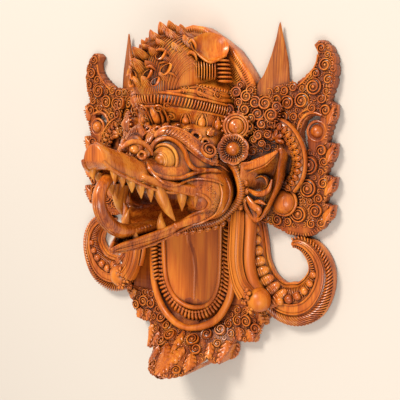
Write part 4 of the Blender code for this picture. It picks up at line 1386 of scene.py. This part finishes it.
def wood(name, light, middle, dark, rough, relief, grain=1.0, hollow=0.0, shine=0.12):
    """Oiled, hand-rubbed tropical hardwood.

    The eye gets straight upright streaks of light and dark grain, broad warm patches,
    near-black colour in the cuts, partly old staining and partly painted shade, painted
    shade deeper in hollows when hollow is given, and a satin shine on the high places.
    """
    material = bpy.data.materials.new(name)
    material.use_nodes = True
    tree = material.node_tree
    shader = tree.nodes["Principled BSDF"]
    place = add(tree, "TexCoord").outputs["Object"]
    # Marks' width and length in mm: fibres, coarser than real pores so that they show; figure
    fine, broad = (add(tree, "Mapping", {"Vector": place, "Scale": (
        1000 / wide, 1000 / long, 1000 / wide)}).outputs[0]
        for wide, long in ((1.4286, 41.667), (11.111, 125)))
    streak = add(tree, "TexNoise", {"Vector": fine, "Scale": 1.0, "Detail": 3.0,
                                    "Roughness": 0.6}).outputs[0]
    figure = add(tree, "TexNoise", {"Vector": broad, "Scale": 1.0, "Detail": 2.0,
                                    "Distortion": 0.6}).outputs[0]
    lines = add(tree, "Math", {0: streak, 1: 0.42 * grain}, operation="MULTIPLY").outputs[0]
    both = add(tree, "Math", {0: figure, 1: 1 - 0.42 * grain, 2: lines},
               operation="MULTIPLY_ADD").outputs[0]
    tones = add(tree, "ValToRGB", {"Fac": both})
    tones.color_ramp.elements.new(0.5)
    for element, stop, code in zip(tones.color_ramp.elements, (0.36, 0.50, 0.64),
                                   (dark, middle, light)):
        element.position = stop
        element.color = linear(code)
    colour = tones.outputs["Color"]
    # Darkening by occlusion, partly the old staining in the cuts and partly painted shade: reach of
    # a cut in metres, span of openness that it fades over, strength, colour
    stains_and_painted_shade = [(0.006, 0.3, 0.95, 1.0, "#330F05")]
    # A second, wider reach paints shade deep in hollows such as the mouth, colour #1F0904
    if hollow:
        stains_and_painted_shade.append((hollow, 0.25, 0.65, 0.97, "#1F0904"))
    for reach, closed, clear, strength, code in stains_and_painted_shade:
        depth = add(tree, "AmbientOcclusion", {"Distance": reach}, samples=8).outputs["AO"]
        stain_and_shade = add(tree, "MapRange", {"Value": depth, "From Min": closed, "From Max": clear,
                                       "To Min": strength, "To Max": 0.0}).outputs[0]
        colour = add(tree, "Mix", {0: stain_and_shade, 6: colour, 7: linear(code)},
                     data_type="RGBA").outputs[2]
    tree.links.new(colour, shader.inputs["Base Color"])
    sheen = add(tree, "MapRange", {"Value": streak, "To Min": rough - 0.06,
                                   "To Max": rough + 0.08}).outputs[0]
    tree.links.new(sheen, shader.inputs["Roughness"])
    bump = add(tree, "Bump", {"Height": streak, "Strength": relief, "Distance": 0.0003})
    tree.links.new(bump.outputs[0], shader.inputs["Normal"])
    for socket, value in (("Specular IOR Level", 0.4), ("Coat Weight", shine),
                          ("Coat Roughness", 0.18)):
        shader.inputs[socket].default_value = value
    return material


def piece(name, carving, material, sharp=50):
    """Makes a visible piece of the mask from a carving."""
    corners = carving.grid() - (0, MIDDLE, 0)
    corners[:, 2] = np.maximum(corners[:, 2], 0)
    mesh = bpy.data.meshes.new(name)
    mesh.from_pydata((corners * PART).tolist(), [], carving.faces)
    shape = bmesh.new()
    shape.from_mesh(mesh)
    bmesh.ops.dissolve_degenerate(shape, dist=1e-6, edges=shape.edges[:])
    bmesh.ops.recalc_face_normals(shape, faces=shape.faces[:])
    shape.to_mesh(mesh)
    shape.free()
    mesh.shade_smooth()
    mesh.set_sharp_from_angle(angle=math.radians(sharp))
    mesh.materials.append(material)
    made = bpy.data.objects.new(name, mesh)
    bpy.context.scene.collection.objects.link(made)
    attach(made, "root")
    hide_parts(NODE)
    return made


def left_half(carving):
    """The forms of a right half, on the left half of the face."""
    left = Carving()
    left.add(carving.grid() * (-1, 1, 1), [[face[::-1]] for face in carving.faces])
    return left


def mirrored(carving):
    """Completes a right half with its left half."""
    carving.join(left_half(carving))
    return carving


def carve_mask():
    """Carves every piece and seats it on the forms below it."""
    # Rubbed smooth and oiled: bright satin lights along the folds
    rubbed = wood("rubbed hardwood", "#DF8829", "#C26218", "#83350A", 0.27, 0.2, shine=0.6)
    # The same, with painted shade darkening the mouth and the ears' depths
    head = wood("rubbed hardwood over a dark mouth", "#DF8829", "#C26218", "#83350A", 0.27, 0.2,
                hollow=0.03, shine=0.4)
    # Matt, and darker than the leafwork: a low ground that the curls stand out from
    cut = wood("hardwood ground between the curls", "#C46C1E", "#A04A0C", "#742C07", 0.45, 0.3)
    # Small leafwork, oiled: many small lights over dark cuts
    leafy = wood("leafy hardwood", "#E28A2C", "#C66417", "#943E0C", 0.31, 0.2, shine=0.3)
    # Painted light: the leafy wood made warmer and paler on the crest and crown, so that they look
    # more brightly lit
    upper = wood("paler leafy hardwood", "#F29A34", "#DB711B", "#A9490F", 0.31, 0.2, shine=0.3)
    # Split along the fibres and left dry: strong upright streaks, hardly a shine
    split = wood("split hardwood", "#BE701F", "#A25012", "#6E2F08", 0.5, 0.5, 1.7)
    # Scraped flat: an even deep orange with faint grain
    smooth = wood("smooth rubbed hardwood", "#D67C20", "#C46416", "#A94F0C", 0.38, 0.15, 0.6,
                  shine=0.06)
    # Polished by hand: the palest wood, on the eyes and teeth
    bone = wood("pale heartwood", "#E39A3C", "#CE7A26", "#A95616", 0.34, 0.15, shine=0.1)

    core = Carving()
    take_object(core, carve_core())
    plates = carve_plates()
    ground = Ground(core, plates)
    face = Ground(core)
    piece("head_and_beak", core, head)
    piece("wing_plates", plates, cut, 40)
    wing = carve_wing(ground)
    piece("right_wing_leafwork", wing, leafy)
    piece("left_wing_leafwork", left_half(wing), leafy)
    piece("collars", mirrored(carve_collar(ground)), leafy)
    piece("temple_flowers", mirrored(carve_flowers()), rubbed)
    piece("temple_curls", mirrored(carve_temple(ground)), leafy)
    piece("crown", carve_crown(), upper)
    piece("crest", carve_crest(carve_crest_base()), upper)
    piece("face_folds", mirrored(carve_face_lines(face)), rubbed)
    piece("eyes", mirrored(carve_eyes()), bone)
    piece("teeth", mirrored(carve_teeth()), bone)
    piece("tongue", carve_tongue(), rubbed)
    piece("ears", mirrored(carve_ears()), head)
    piece("upright_blades", mirrored(carve_blades()), split, 30)
    piece("cheek_ropes", mirrored(carve_cheek_ring()), leafy)
    piece("throat", carve_throat(), smooth)
    piece("scrolls", mirrored(carve_scrolls()), leafy)
    beard = carve_beard()
    piece("beard", beard, cut)
    piece("beard_leafwork", mirrored(carve_beard_leaves(Ground(beard))), leafy)


def lay_floor():
    """A pale cream floor under the mask."""
    mesh = bpy.data.meshes.new("floor")
    half = 4.0
    below = -0.0003
    mesh.from_pydata([(x * half, y * half, below) for x, y in ((-1, -1), (1, -1), (1, 1), (-1, 1))],
                     [], [(0, 1, 2, 3)])
    # Plaster with a matt cream paint: an even pale ground with soft shadows
    material = bpy.data.materials.new("cream painted plaster")
    material.use_nodes = True
    shader = material.node_tree.nodes["Principled BSDF"]
    shader.inputs["Base Color"].default_value = linear("#D1CAC3")
    shader.inputs["Roughness"].default_value = 0.9
    mesh.materials.append(material)
    floor = bpy.data.objects.new("floor", mesh)
    bpy.context.scene.collection.objects.link(floor)


def aim(thing, target):
    """Turns a lamp to look at a place."""
    way = Vector(target) - thing.location
    thing.rotation_euler = way.to_track_quat("-Z", "Y").to_euler()


def set_lights():
    """Soft studio light: a broad key from the upper left, a fill and an even surround."""
    for name, place, size, power, tint in (
            ("key", (-0.38, 1.43, 1.88), 0.65, 50, "#FFF6E8"),
            ("fill", (0.9, -0.6, 1.5), 0.9, 16, "#FFF8EC")):
        lamp = bpy.data.lights.new(name, "AREA")
        lamp.size = size
        lamp.energy = power
        lamp.color = linear(tint)[:3]
        thing = bpy.data.objects.new(name, lamp)
        thing.location = place
        bpy.context.scene.collection.objects.link(thing)
        aim(thing, (0, 0, 0.04))
    world = bpy.data.worlds.new("surround")
    world.use_nodes = True
    sky = world.node_tree.nodes["Background"]
    sky.inputs["Color"].default_value = linear("#FFFAF4")
    sky.inputs["Strength"].default_value = 0.55
    bpy.context.scene.world = world
    bpy.context.scene.view_settings.view_transform = "Standard"


def set_camera():
    """The camera at the photograph's angle: from the right, a little above the eyes."""
    side, rise, roll = (math.radians(angle) for angle in (34.2, 6.6, 0.6))
    distance = 0.76
    middle = Vector((-0.0008, -0.0043, 0))
    back = Vector((math.sin(side) * math.cos(rise), math.sin(rise),
                   math.cos(side) * math.cos(rise)))
    level = Vector((0, 1, 0)).cross(back).normalized()
    above = back.cross(level)
    right = level * math.cos(roll) + above * math.sin(roll)
    up = above * math.cos(roll) - level * math.sin(roll)
    lens = bpy.data.cameras.new("camera")
    lens.sensor_width = 36
    lens.lens = 62.865
    lens.clip_start = 0.01
    camera = bpy.data.objects.new("camera", lens)
    camera.matrix_world = Matrix.Translation(back * distance + middle) @ (
        Matrix((right, up, back)).transposed().to_4x4())
    bpy.context.scene.collection.objects.link(camera)
    bpy.context.scene.camera = camera


carve_mask()
lay_floor()
set_lights()
set_camera()
